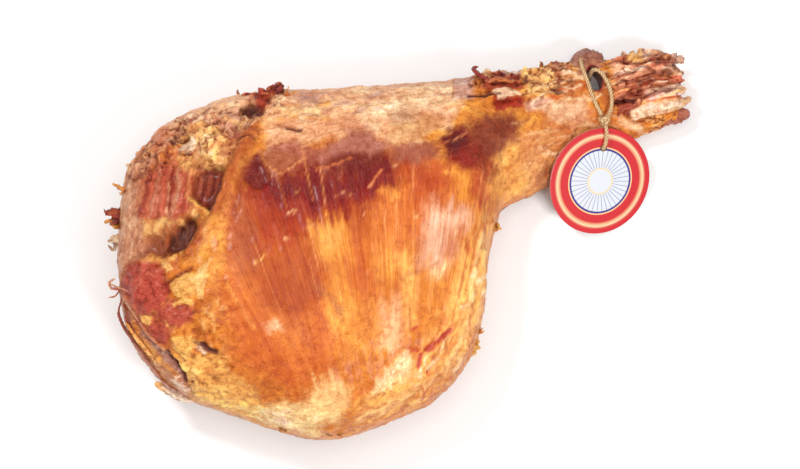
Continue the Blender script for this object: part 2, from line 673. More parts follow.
def slit(line, width, depth, soft=1.5, rag=1.5):
    """A dark cut or a pit: a line of that width, sunk by depth."""
    tissue(line, DARK, width=width, soft=soft, rag=rag, height=-depth, kind="dark")


def scatter_strands(zone, count, heading, spread, lengths, width, colours, height, seed):
    """Bent strands that start at random places inside an outline and run heading degrees from x,
    give or take spread."""
    rng = np.random.default_rng(seed)
    corners = np.array(zone, float)
    starts = rng.uniform(corners.min(axis=0), corners.max(axis=0), (count * 8, 2))
    starts = starts[from_outline(starts[:, 0], starts[:, 1], corners) > 0][:count]
    for number, start in enumerate(starts):
        turn = math.radians(heading + rng.uniform(-spread, spread))
        along = np.array((math.cos(turn), math.sin(turn))) * rng.uniform(*lengths)
        bend = np.array((-along[1], along[0])) * rng.uniform(-0.2, 0.2)
        shade = colours[number % len(colours)]
        wide = width * rng.uniform(0.7, 1.4)
        tissue(
            [start, start + along / 2 + bend, start + along], shade, 0.75, width=wide, soft=0.9, rag=1.5,
            height=height,
        )


# The broad regions, from the upper left of the cut face to its lower right.
LEFT_RIM = [
    (-275, -50), (-275, 62), (-240, 112), (-190, 145), (-143, 155), (-131, 124), (-154, 105), (-191, 96),
    (-218, 75), (-235, 56), (-240, 35), (-237, 15), (-232, -6), (-228, -26), (-242, -33),
]
tissue(LEFT_RIM, TAN, soft=4, rag=3)
tissue([
    (-218, 75), (-192, 99), (-151, 125), (-131, 124), (-133, 96), (-149, 86), (-172, 93), (-197, 103),
], (0.86, 0.52, 0.33), 0.75, soft=5, rag=4)
tissue([
    (-258, 60), (-238, 104), (-196, 136), (-146, 148), (-134, 122), (-160, 108), (-196, 100), (-222, 80),
    (-240, 56),
], (0.87, 0.50, 0.28), 0.8, soft=6, rag=8)
for patch in (
    [(-246, 84), (-222, 104), (-212, 88), (-226, 66)],
    [(-216, 72), (-204, 84), (-196, 62), (-210, 58)],
    [(-168, 84), (-150, 96), (-146, 78), (-160, 70)],
):
    tissue(patch, (0.58, 0.17, 0.07), 0.75, soft=5, rag=7)
tissue([
    (-131, 150), (50, 165), (52, 120), (40, 92), (20, 80), (-10, 78), (-40, 94), (-64, 84), (-95, 78),
    (-125, 78),
], PEACH, soft=6, rag=5)
tissue([
    (-42, 100), (-32, 117), (-19, 129), (7, 139), (44, 150), (46, 126), (32, 115), (10, 108), (-16, 105),
    (-30, 92),
], CREAM, soft=6, rag=6)
tissue([
    (-130, 62), (-124, 78), (-98, 80), (-70, 72), (-76, 55), (-95, 50), (-112, 46),
], (0.44, 0.16, 0.10), soft=4, rag=3.5)
tissue([
    (-162, 26), (-128, 35), (-40, 40), (20, 45), (40, 20), (10, -10), (-40, -40), (-52, -90), (-66, -128),
    (-102, -145), (-145, -124), (-163, -72), (-166, -14),
], ORANGE, soft=14, rag=8)
tissue([
    (-150, 40), (-128, 42), (-60, 45), (-12, 48), (-20, 22), (-50, 4), (-70, -30), (-72, -64), (-90, -84),
    (-84, -104), (-104, -104), (-130, -70), (-146, -30),
], (0.46, 0.11, 0.026), soft=14, rag=8)
tissue([(-130, -80), (-100, -86), (-92, -112), (-112, -124)], (0.62, 0.20, 0.045), 0.5, soft=8, rag=8)
tissue([
    (-146, 40), (-60, 45), (-10, 50), (-18, 24), (-46, 6), (-76, 2), (-100, -22), (-126, -22), (-140, 4),
], (0.40, 0.068, 0.016), soft=15, rag=9)
tissue([
    (-148, 56), (-103, 52), (-76, 58), (-18, 64), (0, 58), (-6, 43), (-20, 31), (-36, 16), (-60, 20),
    (-80, 12), (-100, 22), (-124, 24), (-136, 34),
], (0.19, 0.014, 0.009), soft=15, rag=9)
tissue([
    (-76, 69), (-64, 81), (-53, 92), (-41, 95), (-29, 89), (-14, 77), (-16, 66), (-23, 60), (-41, 59),
    (-56, 52), (-76, 54),
], PURPLE, 0.92, soft=6, rag=6)
tissue([
    (-72, 62), (-58, 69), (-40, 71), (-16, 68), (-20, 57), (-49, 51), (-70, 50),
], MAROON, 0.85, soft=5, rag=4)
tissue([
    (-14, 76), (5, 82), (29, 82), (34, 66), (14, 58), (-11, 60),
], (0.30, 0.10, 0.08), 0.85, soft=5, rag=5)
tissue([(-8, 60), (30, 64), (45, 60), (40, 40), (10, 36), (-6, 46)], RED_ORANGE, 0.8, soft=7, rag=6)
tissue([(8, 52), (40, 50), (44, 20), (12, 20)], (0.50, 0.10, 0.035), 0.6, soft=9, rag=6)
tissue([(-46, 14), (-16, 14), (-14, -24), (-44, -24)], (0.56, 0.17, 0.035), 0.55, soft=9, rag=6)
tissue([
    (-84, 0), (-62, 8), (-48, 2), (-44, -26), (-58, -46), (-72, -30), (-84, -16),
], GOLD, 0.85, soft=8, rag=8)
tissue([(-80, -8), (-66, 2), (-54, -6), (-58, -24), (-70, -20)], YELLOW, 0.6, soft=5, rag=6)
tissue([
    (-50, -13), (-40, -5), (-31, -33), (-24, -66), (-38, -72), (-47, -40),
], ORANGE, 0.8, soft=6, rag=5)
tissue([(-66, -40), (-50, -42), (-42, -80), (-60, -96), (-72, -70)], GOLD, 0.8, soft=6, rag=6)
tissue([
    (24, 24), (57, 25), (58, 4), (51, -11), (49, -30), (31, -31), (12, -33), (13, 0),
], (0.76, 0.44, 0.30), 0.85, soft=9, rag=8)
tissue([
    (-23, -76), (-12, -64), (-2, -64), (0, -92), (-4, -112), (-19, -110),
], (0.86, 0.48, 0.25), 0.9, soft=8, rag=6)
tissue([
    (-7, -25), (2, -18), (4, -40), (14, -43), (12, -62), (8, -82), (4, -102), (-2, -83), (-3, -62),
    (-4, -44),
], YELLOW, 0.95, soft=4, rag=4, height=0.6)
tissue([(24, -36), (37, -28), (44, -33), (35, -44), (26, -45)], (0.93, 0.60, 0.32), 0.75, soft=6, rag=5)
tissue([
    (78, 83), (107, 108), (145, 113), (181, 114), (170, 90), (145, 68), (132, 55), (98, 38), (88, 50),
], (0.74, 0.33, 0.12), soft=5, rag=5)
tissue([
    (79, 68), (95, 88), (112, 84), (117, 54), (108, 42), (90, 31), (75, 34), (82, 54),
], (0.86, 0.42, 0.11), 0.85, soft=6, rag=5)
tissue([(83, 112), (120, 122), (128, 104), (108, 96), (92, 100)], GOLD, 0.8, soft=5, rag=4)

# Two nearly black, bruised patches at the root of the shank, and the red that joins them.
tissue([
    (62, 61), (79, 72), (78, 57), (71, 36), (78, 31), (68, 25), (60, 41),
], RED_ORANGE, 0.9, soft=4, rag=4)
tissue([
    (36, 84), (40, 97), (56, 98), (66, 90), (78, 84), (76, 66), (60, 58), (42, 62),
], CRIMSON, soft=5, rag=4)
tissue([
    (36, 85), (40, 97), (57, 96), (62, 87), (50, 72), (38, 70),
], (0.085, 0.011, 0.009), 0.9, soft=8, rag=4)
tissue([(70, 84), (84, 84), (84, 66), (79, 46), (72, 52)], (0.34, 0.07, 0.028), 0.75, soft=6, rag=5)
tissue([
    (58, 98), (72, 112), (94, 116), (108, 114), (106, 98), (90, 82), (80, 70), (64, 72),
], (0.21, 0.042, 0.024), 0.95, soft=8, rag=5)
tissue([
    (102, 72), (111, 86), (125, 84), (129, 76), (119, 58), (106, 61),
], (0.68, 0.31, 0.13), 0.55, soft=5, rag=6)
tissue([(124, 64), (133, 77), (144, 74), (140, 58), (127, 50)], BROWN, 0.8, soft=4)

# The upper left: yellow fat, red muscle stripes, and the two hollows beside the orange ridge.
tissue([
    (-246, 50), (-232, 68), (-205, 64), (-186, 58), (-186, 12), (-206, 2), (-236, 6), (-250, 20),
], (0.42, 0.15, 0.08), 0.6, soft=7, rag=6)
tissue([
    (-233, 56), (-222, 64), (-204, 58), (-192, 56), (-191, 37), (-192, 20), (-203, 8), (-224, 6),
    (-239, 14), (-240, 36),
], (0.44, 0.12, 0.065), soft=4, rag=6, height=-2)
STRIPES = (
    (-235, -4, CRIMSON), (-230, -4, CORAL), (-225, -4, (0.5, 0.2, 0.12)), (-219, 0, CORAL),
    (-211, 1, CRIMSON), (-206, -4, TAN), (-201, -5, CORAL), (-196, -4, ROSE),
)
for stripe_x, lean_x, shade in STRIPES:
    tissue([
        (stripe_x + 4, 54), (stripe_x, 30), (stripe_x + lean_x, 10),
    ], shade, 0.75, width=3.4, soft=1.8, rag=3.5, height=1.8)
tissue([(-213, 42), (-214, 11)], PEACH, 0.8, width=1.5, soft=1, rag=3, height=0.7)
tissue([
    (-204, 86), (-188, 99), (-166, 94), (-160, 84), (-160, 62), (-164, 53), (-180, 55), (-196, 50),
    (-206, 62), (-201, 72),
], (0.78, 0.42, 0.15), soft=3, rag=3, height=1)
tissue([
    (-201, 96), (-183, 96), (-166, 91), (-166, 82), (-179, 75), (-187, 73), (-190, 66), (-193, 64),
    (-195, 76), (-199, 84),
], (0.90, 0.50, 0.20), soft=2.5, rag=4, height=1.5)
tissue([
    (-205, 74), (-191, 84), (-188, 77), (-195, 70), (-203, 71),
], (0.74, 0.60, 0.44), soft=1.2, rag=1, height=1, kind="pale")
slit([(-212, 83), (-204, 81), (-197, 83)], 3, 3)
slit([(-204, 69), (-198, 68), (-194, 69)], 2.4, 2, soft=1, rag=0.5)
tissue([
    (-171, 80), (-149, 82), (-146, 68), (-150, 60), (-167, 64),
], (0.47, 0.17, 0.07), 0.85, soft=3, height=-1)
tissue([(-163, 112), (-146, 106), (-147, 84), (-162, 84)], (0.52, 0.24, 0.16), 0.8, soft=4, rag=4)
tissue([
    (-233, 4), (-217, 10), (-205, 4), (-207, -5), (-218, -10), (-227, -13), (-234, -6),
], (0.76, 0.44, 0.17), soft=3, rag=3, height=1.5)
tissue([
    (-187, -13), (-172, 4), (-160, 6), (-161, -36), (-178, -38), (-195, -36), (-201, -26),
], (0.77, 0.36, 0.08), soft=4, rag=4, height=1)
tissue([(-144, 34), (-139, 66), (-124, 74), (-95, 64), (-112, 48)], BROWN, 0.6, soft=2, rag=1.5)
tissue([
    (-139, 64), (-133, 71), (-127, 58), (-123, 50), (-121, 38), (-135, 34), (-145, 44), (-141, 55),
], MAROON, soft=2, rag=1.5, height=-2.5, slope=3)
tissue([
    (-160, 23), (-148, 31), (-139, 19), (-130, -14), (-129, -41), (-147, -49), (-159, -23),
], (0.42, 0.13, 0.06), 0.65, soft=10, rag=6)
tissue([
    (-140, 88), (-151, 63), (-158, 46), (-162, 29), (-169, 13), (-176, 0), (-185, -13), (-192, -24),
], (0.42, 0.13, 0.04), 0.6, width=18, soft=3, rag=3, height=0)
tissue([
    (-134, 98), (-144, 80), (-151, 63), (-158, 46), (-162, 29), (-169, 13), (-176, 0), (-185, -13),
    (-192, -24),
], (0.46, 0.13, 0.036), width=9, soft=2.5, rag=3, height=6.5, slope=4)
tissue([
    (-147, 58), (-153, 44), (-156, 28), (-161, 13), (-166, 0),
], (0.78, 0.34, 0.10), 0.6, width=3, soft=2, rag=2.5, height=1)
tissue([
    (-140, 60), (-147, 44), (-150, 26), (-153, 10),
], (0.30, 0.08, 0.04), 0.75, width=4, soft=2.5, rag=3, height=-1.5)
tissue([
    (-158, 62), (-163, 46), (-168, 30), (-176, 12),
], (0.26, 0.07, 0.03), 0.7, width=2.6, soft=1.6, rag=2, height=-1)
tissue([
    (-190, 48), (-178, 57), (-165, 56), (-162, 50), (-167, 45), (-166, 38), (-169, 28), (-176, 16),
    (-186, 22), (-192, 32),
], (0.21, 0.045, 0.03), soft=2, rag=3, height=-12, slope=3)
for rib_x, shade in (
    (-188, (0.40, 0.13, 0.07)), (-184, (0.16, 0.03, 0.02)), (-180, (0.36, 0.09, 0.05)),
    (-176, (0.12, 0.02, 0.015)), (-172, (0.30, 0.07, 0.04)),
):
    tissue([
        (rib_x + 3, 54), (rib_x + 1, 38), (rib_x - 3, 22),
    ], shade, 0.85, width=2.8, soft=1.3, rag=1.5, height=2, slope=1.6)
tissue([
    (-166, 48), (-168, 36), (-171, 26), (-177, 18),
], (0.06, 0.02, 0.015), width=4, soft=1.5, rag=2, height=-3, kind="dark")
tissue([
    (-196, 30), (-194, 48), (-181, 60), (-165, 59),
], (0.70, 0.30, 0.12), 0.9, width=3, soft=1.4, rag=3, height=1.5)
tissue([(-193, 27), (-186, 19), (-177, 13)], YELLOW, 0.8, width=2.6, soft=1.2, rag=2.5, height=1.5)
tissue([
    (-238, -12), (-220, -4), (-204, 4), (-194, 12), (-184, 8), (-188, -14), (-204, -30), (-232, -28),
], BROWN, 0.8, soft=5, rag=4, height=-3, slope=6)
tissue([
    (-242, -22), (-228, -12), (-212, -8), (-202, 2), (-190, 10), (-188, -8), (-200, -22), (-218, -28),
], (0.22, 0.07, 0.04), 0.85, soft=6, rag=5, height=-4, slope=7)
tissue([
    (-214, -9), (-206, -5), (-197, 7), (-188, 11), (-185, 3), (-190, -6), (-194, -13), (-199, -20),
    (-208, -25), (-216, -20),
], (0.10, 0.03, 0.022), 0.9, soft=3, rag=4, height=-8, slope=4, kind="dark")
tissue([
    (-240, -30), (-225, -27), (-210, -30), (-200, -23), (-195, -15), (-190, -9),
], (0.90, 0.50, 0.16), 0.9, width=3.2, soft=1.2, rag=3.5, height=3, slope=1.6)
for strand_x in (-213, -206, -202, -197):
    tissue([
        (strand_x, 3), (strand_x - 1, -9), (strand_x - 4, -16),
    ], (0.50, 0.17, 0.07), 0.85, width=2.4, soft=1.2, rag=3, height=4, slope=1.6)
for lump_x, lump_y, lump_size in ((-189, 12, 4.5), (-201, 5, 4.5), (-176, -7, 6)):
    tissue([
        (lump_x - 0.5, lump_y), (lump_x + 0.5, lump_y),
    ], (0.88, 0.5, 0.2), width=lump_size, soft=1, rag=1.5, height=1.2)

# The dark hole at the top with red shreds at its side, and slits in the pale band.
tissue([
    (-150, 116), (-141, 122), (-130, 119), (-129, 110), (-139, 105), (-147, 107),
], DARK, soft=1.5, rag=1.5, height=-9, slope=2.5, kind="dark")
tissue([
    (-141, 132), (-124, 132), (-122, 118), (-134, 115),
], (0.36, 0.06, 0.035), soft=2, rag=3, height=1.5)
tissue([(-147, 133), (-141, 131)], (0.55, 0.03, 0.02), width=4, soft=1.5, rag=1.5, height=1)
tissue([
    (-115, 117), (-77, 117), (-75, 103), (-112, 106),
], (0.93, 0.62, 0.30), 0.9, soft=3, rag=3, height=0.5)
tissue([(-117, 102), (-95, 105), (-68, 103)], (0.8, 0.4, 0.13), width=3, soft=1.5, rag=1.5, height=1.2)
tissue([(-116, 98), (-104, 95), (-95, 92)], BROWN, 0.9, width=2.5, soft=1.2, rag=1, height=-1.2)
slit([(-108, 94), (-100, 92), (-94, 92)], 2, 2.5, soft=1, rag=0.6)
tissue([(-149, 81), (-142, 84), (-136, 82)], DARK, 0.8, width=2, soft=1, rag=0.6, height=-2)
tissue([(-96, 132), (-77, 131), (-79, 122), (-96, 123)], (0.55, 0.33, 0.26), 0.8, soft=3, rag=4)
tissue([(-47, 110), (-43, 119), (-32, 121), (-37, 111)], (0.52, 0.3, 0.22), 0.8, soft=3, rag=4)
tissue([(-35, 127), (-19, 134)], (0.6, 0.36, 0.28), 0.8, width=5, soft=3, rag=4)
tissue([(-77, 118), (-69, 120)], GOLD, width=4, soft=1.5, rag=1, height=2)
tissue([(-16, 115), (10, 116), (8, 97), (-13, 97)], (0.55, 0.33, 0.20), 0.8, soft=6, rag=6)
tissue([
    (-13, 94), (14, 108), (34, 108), (36, 95), (14, 82), (-9, 80),
], (0.68, 0.37, 0.16), 0.8, soft=5, rag=5)
tissue([(17, 87), (30, 95), (40, 92), (24, 82)], GOLD, soft=3, rag=3)
tissue([
    (-130, 64), (-123, 56), (-112, 48), (-92, 62),
], (0.74, 0.34, 0.13), 0.9, width=1.6, soft=0.8, rag=0.8, height=1.5)
tissue([
    (-79, 53), (-63, 57), (-48, 65),
], (0.68, 0.24, 0.09), 0.9, width=1.6, soft=0.8, rag=0.8, height=1.3)
tissue([(32, 81), (45, 85), (57, 93)], (0.6, 0.22, 0.1), 0.9, width=1.6, soft=0.8, rag=0.8, height=1.2)
tissue([(-32, 37), (-21, 52)], (0.7, 0.25, 0.1), 0.9, width=2.4, soft=1, rag=1, height=1)
tissue([(-76, 53), (-71, 18)], (0.72, 0.32, 0.15), 0.85, width=1.4, soft=0.8, rag=0.3, height=0.6)
tissue([
    (-134, -15), (-120, -52), (-108, -84),
], (0.66, 0.24, 0.08), 0.5, width=1.4, soft=0.8, rag=0.5, height=0.5)
tissue([(-63, 27), (-54, 32)], PEACH, 0.8, width=1.2, soft=0.7, rag=0.4, height=0.6)
tissue([(-107, 10), (-98, 15)], CREAM, width=1.3, soft=0.7, rag=0.4, height=0.8)
tissue([(-26, 29), (-9, 37), (-3, 27), (-15, 23)], (0.78, 0.34, 0.08), 0.85, soft=3, rag=4)
tissue([(38, 54), (50, 51)], GOLD, 0.9, width=5, soft=2, rag=3)
tissue([(-1, -46), (12, -39), (31, -30)], (0.45, 0.16, 0.06), 0.6, width=2, soft=1.2, rag=1, height=-1.2)

# The lower left: wet red lobes between lumps of golden fat, and granular fat below them.
tissue([
    (-249, -31), (-239, -28), (-223, -31), (-214, -37), (-212, -46), (-206, -54), (-211, -65),
    (-196, -68), (-188, -76), (-190, -86), (-205, -92), (-209, -100), (-214, -106), (-226, -100),
    (-240, -84), (-256, -66), (-262, -50), (-255, -41),
], (0.45, 0.13, 0.06), soft=3, rag=2, height=-1)
tissue([
    (-247, -34), (-239, -32), (-223, -34), (-215, -38), (-216, -50), (-209, -54), (-213, -65),
    (-220, -74), (-229, -76), (-239, -74), (-248, -62), (-256, -49), (-251, -42),
], (0.55, 0.09, 0.055), soft=2, rag=2, height=4, slope=7, kind="red")
tissue([
    (-236, -37), (-219, -38), (-219, -47), (-232, -47),
], (0.63, 0.16, 0.08), 0.9, soft=4, rag=3, height=1)
tissue([
    (-216, -72), (-201, -71), (-192, -72), (-188, -78), (-191, -85), (-201, -90), (-210, -87),
    (-224, -78),
], CORAL, soft=2, rag=2, height=3, slope=6, kind="red")
tissue([
    (-230, -87), (-220, -85), (-210, -92), (-210, -99), (-214, -105), (-223, -99),
], CORAL, soft=2, rag=2, height=2.5, slope=5, kind="red")
tissue([
    (-219, -33), (-211, -33), (-206, -38), (-212, -40),
], PALE_YELLOW, soft=1.2, rag=1.5, height=2, kind="gold")
tissue([
    (-237, -78), (-226, -80), (-228, -87), (-235, -84),
], YELLOW, soft=1.2, rag=1, height=2, kind="gold")
tissue([(-213, -53), (-205, -46), (-190, -39)], MAROON, width=2.2, soft=1.2, rag=1, height=-3)
tissue([
    (-208, -51), (-202, -46), (-191, -42), (-185, -45), (-185, -61), (-194, -65), (-203, -64),
    (-208, -58),
], (0.80, 0.42, 0.12), soft=1.2, rag=1, height=4, slope=5, kind="gold")
tissue([
    (-185, -41), (-175, -33), (-173, -44), (-179, -55), (-179, -65), (-183, -64), (-186, -51),
], PALE_YELLOW, soft=1.2, rag=1, height=2.5, slope=2.5, kind="gold")
tissue([(-204, -71), (-197, -67), (-190, -69)], YELLOW, width=4, soft=1.2, rag=1, height=2, kind="gold")
tissue([
    (-171, 2), (-170, -13), (-171, -40), (-171, -67), (-174, -88),
], (0.74, 0.31, 0.07), width=11, soft=3.5, rag=2, height=1.5, slope=4)
slit([(-190, -78), (-188, -78)], 2.4, 3, soft=0.8, rag=0.5)
tissue([
    (-207, -99), (-191, -98), (-181, -103), (-191, -111), (-201, -112), (-208, -105),
], (0.82, 0.42, 0.1), soft=1.5, rag=1.5, height=2.5, slope=4, kind="gold")
slit([(-187, -103), (-179, -106)], 4, 3)
slit([(-178, -108), (-169, -114)], 5, 4)
tissue([(-184, -108), (-178, -113)], WHITE_FAT, width=3, soft=1, rag=1, height=1.5, kind="pale")
GRANULAR = [
    (-209, -122), (-196, -112), (-165, -116), (-158, -125), (-146, -137), (-120, -160), (-134, -172),
    (-168, -165), (-190, -152), (-198, -140), (-205, -129),
]
tissue(GRANULAR, (0.95, 0.56, 0.17), soft=4, rag=4)
tissue([
    (-127, -92), (-113, -86), (-108, -94), (-122, -99),
], (0.84, 0.46, 0.26), 0.8, soft=2, rag=2.5, height=0.5)
tissue([(-159, -51), (-134, -94)], (0.76, 0.33, 0.08), 0.7, width=3, soft=1.5, rag=1, height=0.8)
tissue([(-139, -36), (-132, -34), (-126, -29)], YELLOW, 0.8, width=1.5, soft=0.8, rag=0.5, height=0.8)
tissue([
    (-136, -165), (-120, -158), (-93, -158), (-76, -150), (-76, -182), (-112, -178),
], (0.98, 0.74, 0.36), 0.95, soft=7, rag=6)
tissue([
    (-95, -160), (-78, -141), (-63, -134), (-49, -146), (-52, -159), (-62, -176), (-94, -178),
], (0.98, 0.73, 0.34), 0.9, soft=7, rag=6)
tissue([(-48, -146), (-35, -141), (-33, -154), (-45, -160)], (0.76, 0.3, 0.07), soft=3, rag=3)
tissue([
    (-34, -155), (-23, -136), (-6, -117), (4, -110), (9, -124), (12, -133), (-6, -141), (-23, -150),
], (0.98, 0.80, 0.44), soft=2.5, rag=2.5, height=1)
tissue([(-81, -54), (-66, -67), (-55, -80)], BROWN, 0.7, width=4, soft=3, rag=3)

# The loose strip of skin at the lower left, split from the flesh by a dark slit.
tissue([
    (-262, -64), (-250, -68), (-238, -88), (-213, -114), (-198, -132), (-190, -147), (-205, -150),
    (-228, -134), (-262, -92),
], (0.62, 0.28, 0.12), soft=2.5, rag=1.5, height=-1)
tissue([(-259, -66), (-254, -80), (-247, -90)], (0.30, 0.03, 0.02), width=7, soft=2, rag=1)
tissue([
    (-246, -84), (-232, -104), (-215, -124), (-205, -134),
], GOLD, 0.9, width=3, soft=1.5, rag=1.5, height=1)
tissue([
    (-237, -94), (-222, -108), (-208, -124), (-200, -134),
], (0.42, 0.25, 0.20), 0.9, width=5, soft=2, rag=1.5, height=-1)
tissue([(-250, -73), (-242, -82), (-236, -92)], DARK, 0.8, width=2.5, soft=1.5, rag=0.8, height=-3)
slit([(-214, -112), (-206, -121), (-200, -131), (-198, -136)], 4, 4, rag=1)
tissue([
    (-212, -134), (-206, -132), (-194, -144), (-202, -146),
], PINK, soft=2, rag=1.5, height=1, kind="pale")
tissue([
    (-259, -51), (-250, -68), (-238, -86), (-226, -100), (-213, -114),
], (0.66, 0.36, 0.24), 0.9, width=2.4, soft=1, rag=0.8, height=2)

# The lower right rim is cut through layers of fat and lean that run with its edge.
RIM_LAYERS = (
    (-3, TAN, 5), (2, (0.50, 0.13, 0.04), 3), (6, (0.92, 0.52, 0.17), 4), (9, (0.52, 0.14, 0.04), 2),
    (13, (0.96, 0.64, 0.27), 5), (17, (0.58, 0.17, 0.05), 1.8), (20, YELLOW, 4),
    (24, (0.54, 0.14, 0.04), 2), (28, (0.90, 0.46, 0.12), 3), (33, ORANGE, 2.2),
    (39, (0.58, 0.18, 0.05), 1.6),
)
RIM_CORNERS = [(86, 22), (78, -23), (69, -71), (59, -106), (33, -142), (-4, -164), (-50, -184)]
RIM_CENTRE = np.array([-20, -20])
rim = catmull_rom(np.array(RIM_CORNERS, float), 36)
stretches = np.random.default_rng(62)
tissue(
    [*RIM_CORNERS, (-40, -160), (-4, -134), (18, -108), (38, -70), (56, -20), (66, 20)],
    (0.93, 0.54, 0.18), 0.75, soft=8, rag=5,
)
for inset, shade, wide in RIM_LAYERS:
    for start in (0, 7, 14, 21, 28):
        first, length = start + stretches.integers(-3, 4), stretches.integers(5, 11)
        part = rim[max(first, 0) : first + length : 2]
        drop = inset + stretches.uniform(-2.5, 2.5)
        part = part + (RIM_CENTRE - part) * (drop / np.linalg.norm(RIM_CENTRE - part, axis=1))[:, None]
        tissue(part, shade, 0.7, width=wide, soft=1.6, rag=4, height=0.6 if wide > 2.9 else -0.8)
for spot, wide in (
    ([(30, -101), (41, -90)], 4),
    ([(19, -110), (26, -104)], 4.5),
    ([(12, -124), (15, -114)], 3),
    ([(19, -126), (21, -128)], 2),
    ([(4, -109), (12, -110)], 2),
    ([(6, -93), (10, -91)], 2.5),
):
    tissue(spot, (0.58, 0.05, 0.02), width=wide, soft=1, rag=1.2, height=-1, kind="red")

scatter_strands(
    [
        (88, 20), (80, -20), (70, -72), (60, -106), (34, -140), (0, -160), (10, -120), (40, -84),
        (58, -30), (66, 20),
    ],
    60, 62, 45, (4, 13), 2.1,
    ((0.97, 0.64, 0.27), (0.60, 0.15, 0.05), (0.90, 0.45, 0.12), (0.99, 0.80, 0.48), (0.70, 0.25, 0.06)),
    0.9, 80,
)

# Long single fibres lie along the fan, and short torn ones across it.
fibres = np.random.default_rng(61)
for number in range(26):
    spread, start, length = fibres.uniform(-0.36, 0.2), fibres.uniform(250, 390), fibres.uniform(18, 55)
    ends = [
        (FAN_FOCUS[0] + reach * math.sin(spread), FAN_FOCUS[1] + reach * math.cos(spread))
        for reach in (start, start + length / 2, start + length)
    ]
    tissue(
        ends, (0.78, 0.34, 0.13) if number % 3 else (0.36, 0.07, 0.03), 0.55, width=1.4, soft=0.9,
        rag=0.8, height=0.5,
    )
for number in range(16):
    fx, fy = fibres.uniform(-110, 40), fibres.uniform(-60, 60)
    slant, reach = fibres.uniform(-0.3, 1.2), fibres.uniform(3, 7)
    ends = [(fx, fy), (fx + reach * math.cos(slant), fy + reach * math.sin(slant))]
    tissue(ends, (0.86, 0.50, 0.24), 0.7, width=1.2, soft=0.7, rag=0.8, height=0.6)

# Torn strands lie over the flank, the pale band, the lobes and the shank.
scatter_strands(
    [(-245, 70), (-200, 112), (-150, 125), (-135, 100), (-150, 75), (-185, 62), (-235, 58)], 46, 35, 60,
    (5, 17), 1.9,
    ((0.36, 0.08, 0.04), (0.82, 0.44, 0.17), (0.55, 0.17, 0.08), (0.92, 0.62, 0.34), (0.27, 0.05, 0.03)),
    1.1, 71,
)
scatter_strands([
    (-262, 60), (-240, 60), (-244, 0), (-236, -28), (-262, -30),
], 26, 82, 20, (6, 18), 1.3, ((0.38, 0.15, 0.09), (0.76, 0.46, 0.28), (0.33, 0.10, 0.06)), 0.5, 72)
scatter_strands(
    [(-125, 100), (40, 110), (60, 145), (-125, 132)], 40, 4, 22, (8, 30), 1.5,
    ((0.86, 0.50, 0.22), (0.52, 0.30, 0.24), (0.95, 0.70, 0.46), (0.62, 0.27, 0.11)), 0.5, 73,
)
scatter_strands([
    (-245, -35), (-215, -35), (-195, -75), (-210, -105), (-240, -80),
], 16, -60, 50, (4, 10), 1.6, ((0.85, 0.45, 0.15), (0.34, 0.05, 0.03), (0.70, 0.22, 0.10)), 0.8, 74)
scatter_strands([
    (-200, -70), (-165, -60), (-150, -125), (-180, -140), (-200, -120),
], 24, -50, 60, (4, 11), 2.2, ((0.93, 0.60, 0.24), (0.45, 0.12, 0.05), (0.85, 0.42, 0.12)), 1.2, 75)
scatter_strands([
    (90, 110), (190, 122), (180, 100), (130, 75),
], 26, 15, 18, (10, 30), 1.5, ((0.84, 0.50, 0.26), (0.52, 0.20, 0.08), (0.90, 0.60, 0.36)), 0.5, 76)

# The shank: a torn top edge, the long tendon, sinews towards the end, and the cut they leave below.
tissue([(45, 152), (65, 155), (64, 129), (46, 127)], (0.66, 0.40, 0.31), soft=3, rag=3)
tissue([(46, 150), (44, 128)], BROWN, 0.7, width=1.2, soft=0.7, rag=0.8, height=-0.8)
slit([(60, 132), (74, 131), (88, 135)], 2.6, 3, soft=1.3, rag=1)
tissue([
    (71, 152), (85, 161), (109, 165), (109, 142), (88, 137), (73, 142),
], (0.33, 0.06, 0.035), soft=2.5, rag=4, height=-1)
tissue([(77, 136), (92, 142), (107, 136), (88, 130)], CREAM, 0.9, soft=1.5, rag=3, height=1, kind="pale")
tissue([(80, 131), (112, 134), (112, 124), (88, 118)], (0.40, 0.05, 0.03), soft=2, rag=4, height=-1)
tissue([(70, 166), (89, 175), (112, 175), (110, 160), (85, 162)], (0.84, 0.57, 0.42), soft=2.5, rag=2)
tissue([
    (110, 160), (124, 172), (146, 178), (160, 172), (155, 155), (139, 147), (125, 136), (109, 134),
    (113, 149),
], (0.93, 0.53, 0.20), soft=3, rag=3, height=1.5)
tissue([
    (132, 175), (147, 180), (158, 168), (155, 153), (141, 149),
], (0.42, 0.14, 0.07), 0.8, soft=3, rag=4, height=1)
tissue([(138, 145), (144, 146), (149, 141), (142, 138)], DARK, soft=1.5, rag=1, height=-5, kind="dark")
tissue([
    (113, 130), (131, 134), (144, 132), (135, 123), (114, 121),
], (0.70, 0.42, 0.33), 0.9, soft=3, rag=3)
tissue([
    (128, 127), (145, 134), (172, 138), (176, 125), (172, 114), (145, 112), (131, 117),
], (0.80, 0.48, 0.28), soft=5, rag=4)
tissue([
    (139, 137), (157, 146), (178, 153),
], (0.54, 0.13, 0.032), width=11, soft=2.5, rag=1.5, height=3, slope=4)
tissue([(134, 140), (145, 147)], DARK, 0.6, width=3, soft=2, rag=1, height=-2)
tissue([
    (158, 180), (170, 190), (184, 190), (188, 175), (181, 160), (163, 158),
], (0.42, 0.18, 0.11), soft=2.5, rag=2, height=1)
tissue([
    (182, 164), (190, 166), (196, 148), (196, 133), (190, 126), (183, 138),
], (0.5, 0.16, 0.04), soft=2, rag=1, height=-2, slope=3)
tissue([
    (191, 182), (223, 192), (275, 188), (272, 146), (231, 136), (197, 131), (197, 156),
], (0.72, 0.30, 0.17), soft=3, rag=2)
